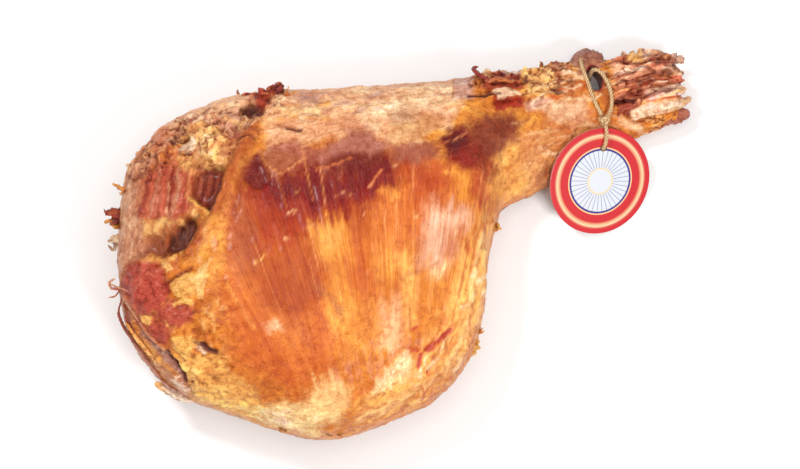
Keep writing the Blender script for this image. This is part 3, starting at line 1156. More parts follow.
for sinew, shade, wide in (
    ([(198, 151), (222, 162), (249, 172)], (0.66, 0.32, 0.2), 4),
    ([(200, 144), (226, 153), (260, 163)], CORAL, 4),
    ([(202, 138), (231, 146), (267, 155)], (0.7, 0.36, 0.23), 3.5),
    ([(215, 170), (240, 178)], (0.3, 0.09, 0.05), 4),
):
    tissue(sinew, shade, 0.8, width=wide, soft=1.6, rag=1.5, height=1.4, slope=1.6)
tissue([
    (209, 181), (216, 190), (226, 186), (224, 174), (211, 173),
], (0.82, 0.44, 0.13), soft=2, rag=3, height=2, kind="gold")
tissue([(246, 182), (254, 190), (266, 186), (256, 176)], (0.74, 0.46, 0.34), soft=2, rag=2, height=1)
tissue([(266, 184), (274, 174), (273, 158), (266, 160)], (0.22, 0.08, 0.045), soft=2.5, rag=2)
for pit in ([(244, 166), (251, 165)], [(255, 174), (263, 176)], [(236, 172), (239, 173)]):
    slit(pit, 3.4, 3)
tissue([
    (224, 145), (240, 149), (259, 152), (257, 142), (231, 137),
], (0.78, 0.50, 0.40), 0.95, soft=2, rag=2, height=0.8)
tissue([
    (227, 136), (242, 139), (258, 143),
], (0.45, 0.03, 0.02), width=1.3, soft=0.8, rag=0.4, height=-1.5)
tissue([
    (197, 134), (216, 137), (224, 134), (216, 124), (200, 121),
], (0.28, 0.06, 0.035), soft=2, rag=2, height=-3, slope=3)
slit([(199, 135), (217, 137)], 3.2, 3, soft=1.3, rag=0.8)
tissue([
    (216, 124), (231, 131), (252, 135), (272, 145),
], (0.94, 0.66, 0.42), width=8, soft=1.5, rag=1.5, height=2.5, slope=3, kind="pale")
tissue([
    (229, 123), (236, 126), (244, 127), (243, 119), (233, 113),
], (0.8, 0.42, 0.14), soft=2, rag=2, height=1)
tissue([(203, 118), (222, 112)], (0.88, 0.54, 0.3), width=7, soft=2, rag=2)
scatter_strands(
    [(62, 160), (110, 176), (160, 176), (150, 150), (110, 140), (70, 138)], 34, 12, 40, (5, 18), 2.2,
    ((0.33, 0.07, 0.04), (0.84, 0.48, 0.20), (0.56, 0.18, 0.09), (0.92, 0.66, 0.42)), 1.3, 77,
)
scatter_strands(
    [(192, 184), (255, 186), (262, 150), (240, 134), (198, 134)], 60, 17, 12, (9, 32), 2.3,
    (
        (0.26, 0.05, 0.028), (0.86, 0.50, 0.32), (0.60, 0.14, 0.07), (0.96, 0.72, 0.52),
        (0.14, 0.03, 0.02), (0.80, 0.36, 0.13),
    ),
    1.5, 78,
)
scatter_strands([
    (110, 142), (178, 160), (182, 135), (118, 122),
], 26, 17, 8, (14, 38), 1.7, ((0.92, 0.66, 0.42), (0.60, 0.25, 0.10), (0.85, 0.50, 0.24)), 0.8, 79)

# The overall relief: rough fat, fine fibre grooves in the fan, grains in the loose fat.
grooves = noise(fan_place, 5.0, 3, 0.6, 31) * fan_weight
lumps = noise(place, 26, 4, 0.55, 32)
rough = noise(place, 8, 3, 0.6, 33)
cords = noise(along_shank, 5, 3, 0.6, 34) * shank_weight
torn_top = smooth((y - 0.18 * x - 128) / 10) * smooth((x - 60) / 20) * upper
at_rim = smooth(1 - np.abs(normal[:, 2]) / 0.5)
TORN_ZONES = [
    [(-270, 60), (-215, 110), (-150, 125), (-140, 100), (-150, 70), (-190, 45), (-200, 60), (-240, 40)],
    [
        (-262, -35), (-240, -30), (-205, -40), (-172, -60), (-150, -130), (-190, -150), (-230, -110),
        (-262, -70),
    ],
    [(66, 170), (110, 185), (160, 185), (160, 150), (125, 132), (85, 124), (60, 140)],
    [(190, 190), (280, 190), (280, 120), (230, 108), (196, 128), (188, 160)],
    [(-155, 135), (-110, 140), (-108, 112), (-150, 102)],
]
TORN_SHARES = (0.85, 0.35, 1.0, 1.0, 0.8)
torn = np.max(
    [
        share * smooth((from_outline(x, y, np.array(zone, float)) + 5) / 10)
        for zone, share in zip(TORN_ZONES, TORN_SHARES)
    ],
    axis=0,
) * upper
torn *= 1 - 0.8 * smooth((np.maximum(crisp["pale"], crisp["gold"]) + 2) / 4)
granular = smooth((from_outline(x, y, np.array(GRANULAR, float)) + 4) / 8) * upper
grains = np.abs(noise(place, 6, 3, 0.6, 35))
relief += lumps * (1.3 - 0.5 * at_rim) + rough * (0.9 - 0.6 * fan_weight) + grooves * 0.8 + cords * 0.9
sway = np.stack([noise(place, 14, 2, 0.5, seed) for seed in (53, 54, 55)], axis=1)
folds = noise(place + 7 * sway, 10, 3, 0.6, 51)
strands = noise(along_shank, 7, 3, 0.65, 52)
folds += (strands - folds) * smooth((x - 60) / 20)
relief += (smooth((folds + 0.1) / 0.5) * 2.8 - smooth((-folds - 0.2) / 0.2) * 3.2) * torn
relief += rough * at_rim * 0.6 + noise(place, 6, 3, 0.6, 36) * torn_top * 3 - granular * grains * 2.2
by_twine = np.minimum(
    from_line(x, y, np.array(TENDON_LOOP_ROUTE)[:, :2] + CAD_SHIFT[:2]),
    from_line(x, y, np.array(TAG_LOOP_ROUTE)[:, :2] + CAD_SHIFT[:2]),
)
clear = smooth((by_twine - 2.5) / 6)
relief = np.where(relief > 0, relief * clear, relief) * (1 - in_hole)
relief = relief * smooth((normal[:, 2] + 0.55) / 0.3)
shaped = place + normal * relief[:, None]
shaped[:, 2] = np.maximum(shaped[:, 2], np.where(place[:, 2] < 0.05, 0, 0.02))
carved.vertices.foreach_set("co", (shaped * MM).astype(np.float32).ravel())
carved.update()

# The sides and the underside keep the smoked rind. Folds, pits and the wall of the hole are dark,
# blotches run over all of it, and the smoke deepens every colour towards red.
DARKEST = 0.004
CURE_DEPTH = (1.02, 1.12, 1.14)
CURE_STRENGTH = (1.07, 1.1, 1.14)
CURE_LOSS = (0.0, 0.012, 0.014)
MOST_GREEN = 0.72  # of the red, so that pale fat stays warm
CLOTTED = np.array((0.25, 0.05, 0.028))
HOLE_WALL = np.array((0.30, 0.05, 0.025))
rind = 1 - smooth((normal[:, 2] + 0.15) / 0.3)
rind_shade = np.array(RIND) * (1 + 0.35 * noise(place, 40, 4, 0.6, 41) + 0.2 * rough)[:, None]
tint += (rind_shade - tint) * rind[:, None]
tint += (CLOTTED - tint) * (0.62 * smooth((-folds - 0.15) / 0.3) * torn)[:, None]
tint *= np.exp((0.35 * smooth((folds - 0.05) / 0.5) * torn)[:, None] * np.array((0.6, 1.0, 1.1)))
long_bands = noise(along_shank * (0.5, 1, 1), 7, 3, 0.6, 44) * shank_weight
tint *= np.exp((0.28 * long_bands)[:, None] * np.array((0.5, 1.0, 1.2)))
blotch = noise(place, 38, 4, 0.55, 42)
bands = noise(np.stack([fan_across, fan_along / 7, z / 20], axis=1), 11, 3, 0.6, 43) * fan_weight
tint *= np.exp((0.34 * blotch + 0.22 * bands + 0.12 * rough)[:, None] * np.array((0.55, 1.1, 1.3)))
tint += (HOLE_WALL - tint) * (in_hole * smooth((1.2 - hole_radius(x, y)) / 0.1))[:, None]
tint = np.clip(tint, DARKEST, 1) ** CURE_DEPTH * CURE_STRENGTH - CURE_LOSS
tint = np.maximum(tint, DARKEST / 2)
tint[:, 1] = np.minimum(tint[:, 1], MOST_GREEN * tint[:, 0])

set_attribute(ham, "tint", tint)
set_attribute(ham, "fan", np.stack([fan_across, fan_along, z], axis=1) * MM)
grainy = 0.3 + 0.4 * smooth((340 - fan_along) / 90)
set_attribute(
    ham, "fibre", np.stack([fan_weight * (1 - grainy), 0.6 * shank_weight, 0.7 * left_weight], axis=1),
)
set_attribute(ham, "crisp", np.stack([crisp["red"], crisp["gold"], crisp["pale"]], axis=1))
set_attribute(ham, "hollow", crisp["dark"])
set_attribute(ham, "torn", np.maximum(torn, 0.14 * upper))


def effect_group(name, inputs, outputs):
    """An empty shader node group with named number or vector sockets."""
    tree = bpy.data.node_groups.new(name, "ShaderNodeTree")
    for socket_name, kind, value in inputs:
        socket = tree.interface.new_socket(socket_name, in_out="INPUT", socket_type=kind)
        if value is not None:
            socket.default_value = value
    for socket_name, kind in outputs:
        tree.interface.new_socket(socket_name, in_out="OUTPUT", socket_type=kind)
    return tree, tree.nodes.new("NodeGroupInput").outputs, tree.nodes.new("NodeGroupOutput").inputs


def streaks_group():
    """Muscle fibre: noise drawn out along the first axis. Streak is a broad shade, Thread a few
    fine pale lines, Height the grooves."""
    tree, given, out = effect_group(
        "fibre_streaks",
        [
            ("Vector", "NodeSocketVector", None), ("Length", "NodeSocketFloat", 14.0),
            ("Scale", "NodeSocketFloat", 300.0),
        ],
        [("Streak", "NodeSocketFloat"), ("Thread", "NodeSocketFloat"), ("Height", "NodeSocketFloat")],
    )
    parts = add_node(tree, "ShaderNodeSeparateXYZ", Vector=given["Vector"])
    drawn = math_node(tree, "DIVIDE", parts.outputs["Y"], given["Length"])
    flat = add_node(tree, "ShaderNodeCombineXYZ", X=parts.outputs["X"], Y=drawn, Z=parts.outputs["Z"])
    broad = add_node(
        tree, "ShaderNodeTexNoise", Vector=flat.outputs[0], Scale=given["Scale"], Detail=5.0,
        Roughness=0.6,
    )
    fine_scale = math_node(tree, "MULTIPLY", given["Scale"], 2.7)
    fine = add_node(
        tree, "ShaderNodeTexNoise", Vector=flat.outputs[0], Scale=fine_scale, Detail=4.0, Roughness=0.65,
    )
    tree.links.new(broad.outputs["Fac"], out["Streak"])
    wide_scale = math_node(tree, "MULTIPLY", given["Scale"], 0.6)
    wide = add_node(
        tree, "ShaderNodeTexNoise", Vector=flat.outputs[0], Scale=wide_scale, Detail=2.0, Roughness=0.55,
    )
    middle = math_node(tree, "ABSOLUTE", math_node(tree, "SUBTRACT", wide.outputs["Fac"], 0.5))
    line = math_node(tree, "MULTIPLY_ADD", middle, -26.0, 1.0, clamp=True)
    tree.links.new(math_node(tree, "MULTIPLY", line, fine.outputs["Fac"]), out["Thread"])
    tree.links.new(math_node(tree, "ADD", broad.outputs["Fac"], fine.outputs["Fac"]), out["Height"])
    return tree


def grain_group():
    """Loose fat and torn flesh: Mottle is a soft cloud, Grain a finer one, Fleck a few small pale
    dots, Pit small dark dips."""
    tree, given, out = effect_group(
        "flesh_grain", [("Vector", "NodeSocketVector", None), ("Scale", "NodeSocketFloat", 120.0)],
        [
            ("Mottle", "NodeSocketFloat"), ("Grain", "NodeSocketFloat"), ("Fleck", "NodeSocketFloat"),
            ("Pit", "NodeSocketFloat"),
        ],
    )
    cloud = add_node(
        tree, "ShaderNodeTexNoise", Vector=given["Vector"], Scale=given["Scale"], Detail=6.0,
        Roughness=0.62, Distortion=0.4,
    )
    fine_scale = math_node(tree, "MULTIPLY", given["Scale"], 4.5)
    fine = add_node(
        tree, "ShaderNodeTexNoise", Vector=given["Vector"], Scale=fine_scale, Detail=4.0, Roughness=0.7,
        Distortion=0.8,
    )
    tree.links.new(cloud.outputs["Fac"], out["Mottle"])
    tree.links.new(fine.outputs["Fac"], out["Grain"])
    tree.links.new(
        math_node(tree, "MULTIPLY_ADD", fine.outputs["Fac"], 9.0, -5.8, clamp=True), out["Fleck"],
    )
    tree.links.new(
        math_node(tree, "MULTIPLY_ADD", cloud.outputs["Fac"], -11.0, 4.9, clamp=True), out["Pit"],
    )
    return tree


STREAKS = streaks_group()
GRAIN = grain_group()


def use_group(tree, group, **inputs):
    """One use of a node group, with its inputs set by name."""
    node = tree.nodes.new("ShaderNodeGroup")
    node.node_tree = group
    for name, value in inputs.items():
        if isinstance(value, bpy.types.NodeSocket):
            tree.links.new(value, node.inputs[name])
        else:
            node.inputs[name].default_value = value
    return node.outputs


def attribute_node(tree, name):
    """Reads a per-vertex attribute."""
    node = tree.nodes.new("ShaderNodeAttribute")
    node.attribute_name = name
    return node.outputs


CRISP_TONES = (  # which distance, strength, darker and paler tone of wet lean, fat and pale sinew
    ("X", 0.65, (0.32, 0.024, 0.018), (0.53, 0.088, 0.045)),
    ("Y", 0.7, (0.80, 0.36, 0.06), (0.95, 0.58, 0.17)),
    ("Z", 0.7, (0.88, 0.56, 0.36), (0.96, 0.74, 0.52)),
)
SHADES = (  # what the streaks, the mottle and the grain multiply the colour by, low and high
    ((0.82, 0.66, 0.56), (1.08, 1.15, 1.2)),
    ((0.86, 0.70, 0.62), (1.08, 1.16, 1.22)),
    ((0.93, 0.82, 0.74), (1.08, 1.20, 1.26)),
)


def flesh_material():
    """The whole skin of the ham: the tint of each place, streaked along its fibres, mottled, and
    with the crisp tissues laid over it by their distance to the edge plus fine noise."""
    material, tree, shader = new_material("cured_flesh", 0.42, 0.3)
    place = tree.nodes.new("ShaderNodeTexCoord").outputs["Object"]
    fibre = add_node(
        tree, "ShaderNodeSeparateXYZ", Vector=attribute_node(tree, "fibre")["Vector"],
    ).outputs
    drawn = add_node(tree, "ShaderNodeVectorMath", Vector=attribute_node(tree, "fan")["Vector"])
    drawn.operation = "MULTIPLY"
    drawn.inputs[1].default_value = (1.0, 0.06, 1.0)
    loose = use_group(tree, GRAIN, Vector=place, Scale=170.0)
    combed = use_group(tree, GRAIN, Vector=drawn.outputs[0], Scale=170.0)
    grain = {}
    for output in ("Mottle", "Grain", "Fleck"):
        blend = add_node(tree, "ShaderNodeMix", Factor=fibre["X"])
        tree.links.new(loose[output], blend.inputs[2])
        tree.links.new(combed[output], blend.inputs[3])
        grain[output] = blend.outputs[0]
    turned = add_node(tree, "ShaderNodeMapping", Vector=place)
    turned.inputs["Rotation"].default_value = (0, 0, math.radians(-106))
    turned_left = add_node(tree, "ShaderNodeMapping", Vector=place)
    turned_left.inputs["Rotation"].default_value = (0, 0, math.radians(15))
    fan = use_group(
        tree, STREAKS, Vector=attribute_node(tree, "fan")["Vector"], Length=130.0, Scale=380.0,
    )
    shank = use_group(tree, STREAKS, Vector=turned.outputs[0], Length=7.0, Scale=300.0)
    left = use_group(tree, STREAKS, Vector=turned_left.outputs[0], Length=7.0, Scale=300.0)

    def by_zone(name):
        """The three streak fields weighed by the zone of the vertex."""
        total = math_node(tree, "MULTIPLY", fan[name], fibre["X"])
        total = math_node(tree, "MULTIPLY_ADD", shank[name], fibre["Y"], total)
        return math_node(tree, "MULTIPLY_ADD", left[name], fibre["Z"], total)

    total_weight = math_node(tree, "ADD", math_node(tree, "ADD", fibre["X"], fibre["Y"]), fibre["Z"])
    rest = math_node(tree, "SUBTRACT", 1.0, total_weight, clamp=True)
    streak = math_node(tree, "MULTIPLY_ADD", rest, 0.5, by_zone("Streak"))
    thread, height = by_zone("Thread"), by_zone("Height")
    ragged = math_node(
        tree, "MULTIPLY_ADD", grain["Mottle"], 9.0,
        math_node(tree, "MULTIPLY_ADD", grain["Grain"], 5.0, -7.0),
    )
    crisp_edges = add_node(
        tree, "ShaderNodeSeparateXYZ", Vector=attribute_node(tree, "crisp")["Vector"],
    ).outputs

    def crisp_mask(distance, strength):
        """The strength inside a crisp tissue: its distance plus the ragged noise, over a narrow edge."""
        inside = math_node(tree, "MULTIPLY", math_node(tree, "ADD", distance, ragged), 1.2, clamp=True)
        return math_node(tree, "MULTIPLY", inside, strength)

    def two_tone(dark, pale):
        """A colour between two, by the fine grain."""
        level = math_node(tree, "MULTIPLY_ADD", grain["Grain"], 2.0, -0.5, clamp=True)
        return mix_node(tree, level, dark, pale)

    colour = attribute_node(tree, "tint")["Color"]
    for axis, strength, dark, pale in CRISP_TONES:
        colour = mix_node(tree, crisp_mask(crisp_edges[axis], strength), colour, two_tone(dark, pale))
    level = math_node(tree, "MULTIPLY_ADD", streak, 3.4, -1.2, clamp=True)
    cloud = math_node(tree, "MULTIPLY_ADD", grain["Mottle"], 4.4, -1.7, clamp=True)
    fine = math_node(tree, "MULTIPLY_ADD", grain["Grain"], 5.0, -2.0, clamp=True)
    for share, (dark, pale) in zip((level, cloud, fine), SHADES):
        colour = mix_node(tree, 1.0, colour, mix_node(tree, share, dark, pale), "MULTIPLY")
    torn = attribute_node(tree, "torn")["Fac"]
    cracked = mix_node(tree, 1.0, colour, (0.46, 0.24, 0.17), "MULTIPLY")
    colour = mix_node(tree, math_node(tree, "MULTIPLY", torn, loose["Pit"]), colour, cracked)
    thread = math_node(
        tree, "MULTIPLY", thread, math_node(tree, "MULTIPLY_ADD", grain["Mottle"], 1.6, -0.5, clamp=True),
    )
    colour = mix_node(tree, thread, colour, mix_node(tree, 0.5, colour, (0.86, 0.40, 0.17)))
    dark = crisp_mask(attribute_node(tree, "hollow")["Fac"], 0.7)
    colour = mix_node(
        tree, dark, colour, mix_node(tree, level, (0.04, 0.008, 0.006), (0.26, 0.06, 0.035)),
    )
    flecked = mix_node(
        tree, 0.35, mix_node(tree, 1.0, colour, (1.7, 2.2, 2.4), "MULTIPLY"), (0.95, 0.68, 0.42),
    )
    colour = mix_node(tree, math_node(tree, "MULTIPLY", grain["Fleck"], 0.7), colour, flecked)
    tree.links.new(colour, shader.inputs["Base Color"])
    rough_value = math_node(tree, "MULTIPLY_ADD", grain["Grain"], 0.5, 0.06)
    tree.links.new(rough_value, shader.inputs["Roughness"])
    shader.inputs["Coat Weight"].default_value = 0.12
    shader.inputs["Coat Roughness"].default_value = 0.2
    shader.inputs["Subsurface Weight"].default_value = 0.0
    total = math_node(tree, "MULTIPLY_ADD", grain["Mottle"], 1.6, height)
    total = math_node(tree, "MULTIPLY_ADD", math_node(tree, "MULTIPLY", torn, loose["Pit"]), -0.8, total)
    total = math_node(tree, "MULTIPLY_ADD", grain["Grain"], 0.8, total)
    bump = add_node(tree, "ShaderNodeBump", Strength=1.0, Distance=0.0012, Height=total)
    tree.links.new(bump.outputs["Normal"], shader.inputs["Normal"])
    return material


flesh = flesh_material()
ham.data.materials.clear()
ham.data.materials.append(flesh)
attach(ham, "root")
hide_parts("ham")

# ---------------------------------------------------------------------------------------------
# The torn pieces of the ham: shreds of lean and fat that stand out from its edge, the loose strip
# of skin, the hanging flap, and the ragged end of the hock. All grow from the flesh.
# ---------------------------------------------------------------------------------------------


def shred(
    route, widths, thickness, root_colour, tip_colour=None, facing=(0, 0, 1), rag=0.3, seed=0, sides=12,
    spacing=1.2,
):
    """One torn piece: around a spline stands a flat ring, half its width to each side and half its
    thickness to each face, both jittered by rag. The ends round off. Returns points, quads,
    triangles and tints."""
    rng = np.random.default_rng(seed)
    path, run = even_steps(catmull_rom(route, 16 * len(route)), spacing)
    rows = len(path)
    tangent = np.gradient(path, axis=0)
    tangent /= np.linalg.norm(tangent, axis=1)[:, None]
    side = np.cross(tangent, np.array(facing, float))
    side /= np.linalg.norm(side, axis=1)[:, None]
    face = np.cross(tangent, side)
    t = run / run[-1]
    wide = np.interp(t, np.linspace(0, 1, len(widths)), widths) / 2
    ends = np.sqrt(np.clip(np.minimum(t, 1 - t) * rows / 3 + 0.12, 0, 1))
    angle = np.linspace(0, 2 * np.pi, sides, endpoint=False)[None, :]
    jitter = 1 + rag * rng.uniform(-1, 1, (rows, sides))
    bend = rag * np.cumsum(rng.uniform(-0.5, 0.5, rows)) * ends
    ring = (
        (path + face * bend[:, None])[:, None, :]
        + side[:, None, :] * ((wide * ends)[:, None] * np.cos(angle) * jitter)[..., None]
        + face[:, None, :] * ((thickness / 2 * ends)[:, None] * np.sin(angle) * jitter)[..., None]
    )
    points = np.concatenate([ring.reshape(-1, 3), path[:1], path[-1:]])
    points[:, 2] = np.maximum(points[:, 2], 0.3)
    blend = np.concatenate([np.repeat(t, sides), [0, 1]])[:, None]
    tip_colour = root_colour if tip_colour is None else tip_colour
    shade = np.array(root_colour) * (1 - blend) + np.array(tip_colour) * blend
    shade = shade * rng.uniform(0.8, 1.2, (len(points), 1))
    return points, grid_faces(rows, sides)[:, ::-1], end_caps(rows, sides), shade


def tuft(base, heading, count, length, width, colours, seed, spread=0.6, base_spread=4.0):
    """A tuft of shreds that start within base_spread of base and bend away along heading."""
    rng = np.random.default_rng(seed)
    shreds = []
    for number in range(count):
        start = np.array(base) + rng.uniform(-1, 1, 3) * base_spread
        way = np.array(heading, float) + rng.normal(0, spread, 3)
        way /= np.linalg.norm(way)
        reach = length * rng.uniform(0.5, 1.1)
        side = rng.normal(0, 0.25, 3) * reach
        route = [
            start - way * 3, start + way * reach * 0.4 + side * 0.3, start + way * reach * 0.8 + side,
            start + way * reach,
        ]
        root_colour, tip_colour = colours[number % len(colours)]
        wide = width * rng.uniform(0.5, 1.3)
        facing = rng.normal(0, 0.5, 3) + (0, 0, 1)
        shreds.append(
            shred(
                route, (wide * 1.3, wide, wide * 0.8, wide * 0.35), 1.3, root_colour, tip_colour, facing,
                0.4, seed * 100 + number, 9, 0.9,
            )
        )
    return shreds


def torn_piece(name, shreds):
    """Joins shreds into one object that wears the flesh material."""
    offsets = np.cumsum([0] + [len(points) for points, *_ in shreds])
    points = np.concatenate([points for points, *_ in shreds])
    quads = np.concatenate([quads + offset for (_, quads, _, _), offset in zip(shreds, offsets)])
    triangles = np.concatenate(
        [triangles + offset for (_, _, triangles, _), offset in zip(shreds, offsets)]
    )
    obj = make_mesh(name, points, quads, triangles)
    total = len(points)
    set_attribute(obj, "tint", np.clip(np.concatenate([shade for *_, shade in shreds]), 0.004, 1))
    set_attribute(obj, "fan", points * MM)
    set_attribute(obj, "fibre", np.zeros((total, 3)))
    set_attribute(obj, "crisp", np.full((total, 3), -9.0))
    set_attribute(obj, "hollow", np.full(total, -9.0))
    set_attribute(obj, "torn", np.full(total, 0.4))
    obj.data.materials.append(flesh)
    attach(obj, "root")
    return obj


BLOOD = (0.30, 0.035, 0.02)
RUST = (0.48, 0.12, 0.04)
red_shades = ((BLOOD, RUST), (BLOOD, (0.5, 0.06, 0.03)), (RUST, ORANGE), (MAROON, CRIMSON))
fat_shades = ((ORANGE, YELLOW), (GOLD, CREAM), (YELLOW, WHITE_FAT))

torn_piece(
    "torn_tuft_top",
    tuft((-121, 130, 88), (-0.1, 0.9, -0.2), 34, 9, 8, red_shades, 3, 0.75, (9, 4, 5))
    + tuft((-108, 131, 88), (0.2, 0.8, -0.2), 8, 9, 2.2, (fat_shades[0],), 4, 0.5, 3)
    + tuft((-155, 133, 72), (-0.3, 1.0, -0.1), 5, 7, 2, ((BROWN, RUST),), 5, 0.3, 2),
)
torn_piece(
    "torn_scraps_left",
    tuft((-248, 63, 92), (-1, 0.1, -0.2), 5, 8, 3.5, (fat_shades[1],), 6, 0.4, 2.5)
    + tuft((-256, 39, 96), (-1, 0.0, -0.2), 6, 9, 3, (fat_shades[0],), 7, 0.45, 3)
    + tuft((-257, 17, 94), (-1, 0.2, -0.2), 16, 12, 8, red_shades, 8, 0.6, 5)
    + tuft((-260, 12, 90), (-1, -0.2, -0.1), 8, 10, 5, ((RUST, ORANGE), (ORANGE, GOLD)), 9, 0.5, 4)
    + tuft(
        (-261, -2, 84), (-1, -0.1, 0), 8, 13, 4, ((CREAM, WHITE_FAT), (PEACH, WHITE_FAT)), 10, 0.45, 4,
    ),
)
torn_piece(
    "torn_fibres_left",
    [
        shred([
            (-236, -64, 119), (-250, -55, 112), (-262, -49, 100), (-270, -44, 94),
        ], (2.4, 1.8, 1.2), 1.4, CORAL, PEACH, seed=31),
        shred([
            (-248, -42, 110), (-256, -50, 104), (-262, -57, 96), (-269, -58, 92),
        ], (2, 1.6, 1.4, 1.2), 1.3, RUST, ORANGE, seed=32),
        shred([
            (-258, -52, 102), (-266, -50, 96), (-268, -44, 93), (-263, -41, 93),
        ], (2.6, 2.2, 1.8), 1.6, ROSE, PEACH, seed=33),
    ],
)
torn_piece(
    "torn_hook_top",
    [
        shred([
            (80, 147, 76), (72, 152, 74), (66, 158, 69), (64, 163, 63), (69, 165, 60),
        ], (4.5, 4.2, 3.6, 2.6), 3.6, BLOOD, (0.36, 0.04, 0.02), seed=34),
        shred([(74, 147, 76), (88, 149, 75), (100, 147, 72)], (5, 4, 3), 3, RUST, ORANGE, seed=35),
    ],
)
torn_piece(
    "skin_strip",
    [
        shred(
            [
                (-256, -60, 98), (-260, -72, 88), (-254, -86, 88), (-241, -105, 92), (-229, -121, 84),
                (-216, -137, 74), (-198, -146, 74),
            ],
            (3, 5, 6, 6, 5, 4), 1.5, (0.44, 0.09, 0.05), (0.56, 0.34, 0.28), (0.9, 0.5, 0.6), 0.22, 36,
            16, 1.0,
        ),
        shred([
            (-252, -82, 100), (-240, -99, 104), (-228, -113, 101), (-215, -128, 92),
        ], (2.5, 4, 4, 2.5), 2, GOLD, (0.88, 0.5, 0.2), (0.2, 0.1, 1), 0.25, 37),
    ],
)
torn_piece(
    "hanging_flap",
    [
        shred([
            (-228, -133, 66), (-218, -138, 64), (-206, -144, 64), (-193, -150, 66),
        ], (6, 8, 9, 6), 2, (0.85, 0.45, 0.14), (0.95, 0.80, 0.66), (0.2, 0.1, 1), 0.2, 38, 16, 1.0),
        shred([
            (-222, -136, 67), (-212, -142, 66), (-203, -150, 62),
        ], (4, 6, 3), 1.8, CREAM, (0.95, 0.84, 0.72), (0.2, 0.1, 1), 0.3, 39),
    ],
)
torn_piece(
    "torn_rim_right",
    tuft((66, -86, 70), (1, -0.1, 0), 6, 7, 5, ((ORANGE, GOLD),), 12, 0.4, 2)
    + tuft((61, -98, 60), (1, -0.2, 0.1), 10, 6, 8, ((ORANGE, YELLOW), (GOLD, YELLOW)), 13, 0.4, 4)
    + tuft((82, 14, 60), (1, 0.0, 0), 5, 6, 6, ((GOLD, YELLOW),), 14, 0.3, 3)
    + tuft((-70, -178, 80), (0.1, -1, 0), 12, 4, 8, ((BROWN, TAN), (GOLD, BROWN)), 15, 0.4, (14, 2, 5))
    + tuft((-112, -176, 80), (0, -1, 0), 4, 5, 4, ((GOLD, BROWN),), 16, 0.4, 3),
)
torn_piece(
    "hock_knob",
    [
        shred([
            (156, 168, 41), (164, 177, 38), (176, 182, 33), (188, 180, 29),
        ], (8, 12, 13, 8), 9, (0.42, 0.20, 0.13), (0.36, 0.12, 0.08), (0, 0.3, 1), 0.16, 40, 18, 1.0),
        shred([
            (160, 178, 34), (170, 186, 28), (182, 187, 24),
        ], (6, 9, 6), 6, (0.45, 0.16, 0.10), (0.5, 0.2, 0.12), (0, 0.6, 1), 0.3, 41),
    ],
)
torn_piece(
    "torn_shank_top",
    tuft((116, 163, 38), (-0.2, 1, 0), 6, 4, 8, ((GOLD, YELLOW), (ORANGE, GOLD)), 17, 0.6, (6, 2, 3))
    + tuft((131, 168, 37), (0.1, 1, 0), 9, 5, 8, ((ORANGE, GOLD), (RUST, ORANGE)), 18, 0.6, (8, 2, 3))
    + tuft(
        (147, 170, 34), (0.1, 1, 0), 10, 6, 8, (((0.5, 0.2, 0.12), RUST), (RUST, ORANGE)), 19, 0.6,
        (8, 2, 3),
    )
    + tuft(
        (213, 180, 30), (0.2, 1, 0), 9, 6, 9, ((ORANGE, YELLOW), ((0.5, 0.24, 0.16), PINK)), 20, 0.6,
        (8, 2, 3),
    )
    + tuft((236, 182, 28), (0.2, 1, 0), 9, 6, 9, ((RUST, (0.5, 0.24, 0.16)),), 22, 0.6, (8, 2, 3))
    + tuft((256, 180, 26), (0.3, 0.8, 0), 8, 6, 7, (((0.6, 0.33, 0.24), PINK),), 23, 0.6, (6, 2, 3)),
)
torn_piece(
    "hock_end_shreds",
    [
        shred([
            (212, 121, 36), (226, 126, 37), (240, 129, 34), (256, 134, 30), (271, 143, 26),
        ], (8, 9, 9, 8, 6), 5, (0.93, 0.66, 0.42), (0.86, 0.5, 0.26), (0, -0.3, 1), 0.12, 42, 16, 1.0),
        shred([
            (240, 122, 28), (250, 124, 26), (260, 127, 22), (270, 130, 20),
        ], (10, 14, 14, 8), 9, (0.55, 0.16, 0.08), (0.42, 0.13, 0.08), (0, -0.4, 1), 0.2, 43, 18, 1.0),
        shred([
            (196, 121, 36), (208, 118, 33), (220, 113, 28), (230, 109, 24),
        ], (9, 11, 8, 3), 3, (0.72, 0.25, 0.08), (0.9, 0.6, 0.36), (0.1, -0.5, 1), 0.2, 44, 16, 1.0),
        shred([
            (226, 120, 32), (236, 118, 29), (242, 113, 25),
        ], (6, 8, 3), 4, (0.84, 0.45, 0.15), RUST, (0, -0.4, 1), 0.3, 45),
    ],
)

# ---------------------------------------------------------------------------------------------
# The tag. A round printed card on the small loop: red, with gilt rings round a pale centre with
# fine blue rays. It leans on the shank, one edge on the table.
# ---------------------------------------------------------------------------------------------
TAG_RADIUS = 51.0
TAG_THICKNESS = 1.4
TAG_HOLE_RADIUS = 3.4
TAG_HOLE_REACH = 32.0
TAG_HEADING = math.radians(40)
TAG_TILT = math.radians(32)
TAG_SPIN = math.radians(-40.6)
TAG_PLACE = (191.0, 55.0)
PRINT_RED = (0.52, 0.014, 0.02)
PRINT_PALE = (0.60, 0.62, 0.66)
PRINT_BLUE = (0.02, 0.03, 0.22)
GILT = (0.80, 0.54, 0.28)
BOARD = (0.62, 0.60, 0.56)
PRINT_RINGS = (  # inner radius, outer radius, width of the soft edge, strength, colour
    (11.5, 13.0, 0.25, 1.0, GILT),
    (29.4, 31.4, 0.25, 1.0, PRINT_BLUE),
    (31.4, 32.8, 0.25, 1.0, GILT),
    (40.0, 46.5, 2.6, 0.75, GILT),
    (43.6, 44.6, 0.4, 1.0, (0.84, 0.66, 0.44)),
)
RAY_COUNT = 36
RAY_WIDTH = 3.4


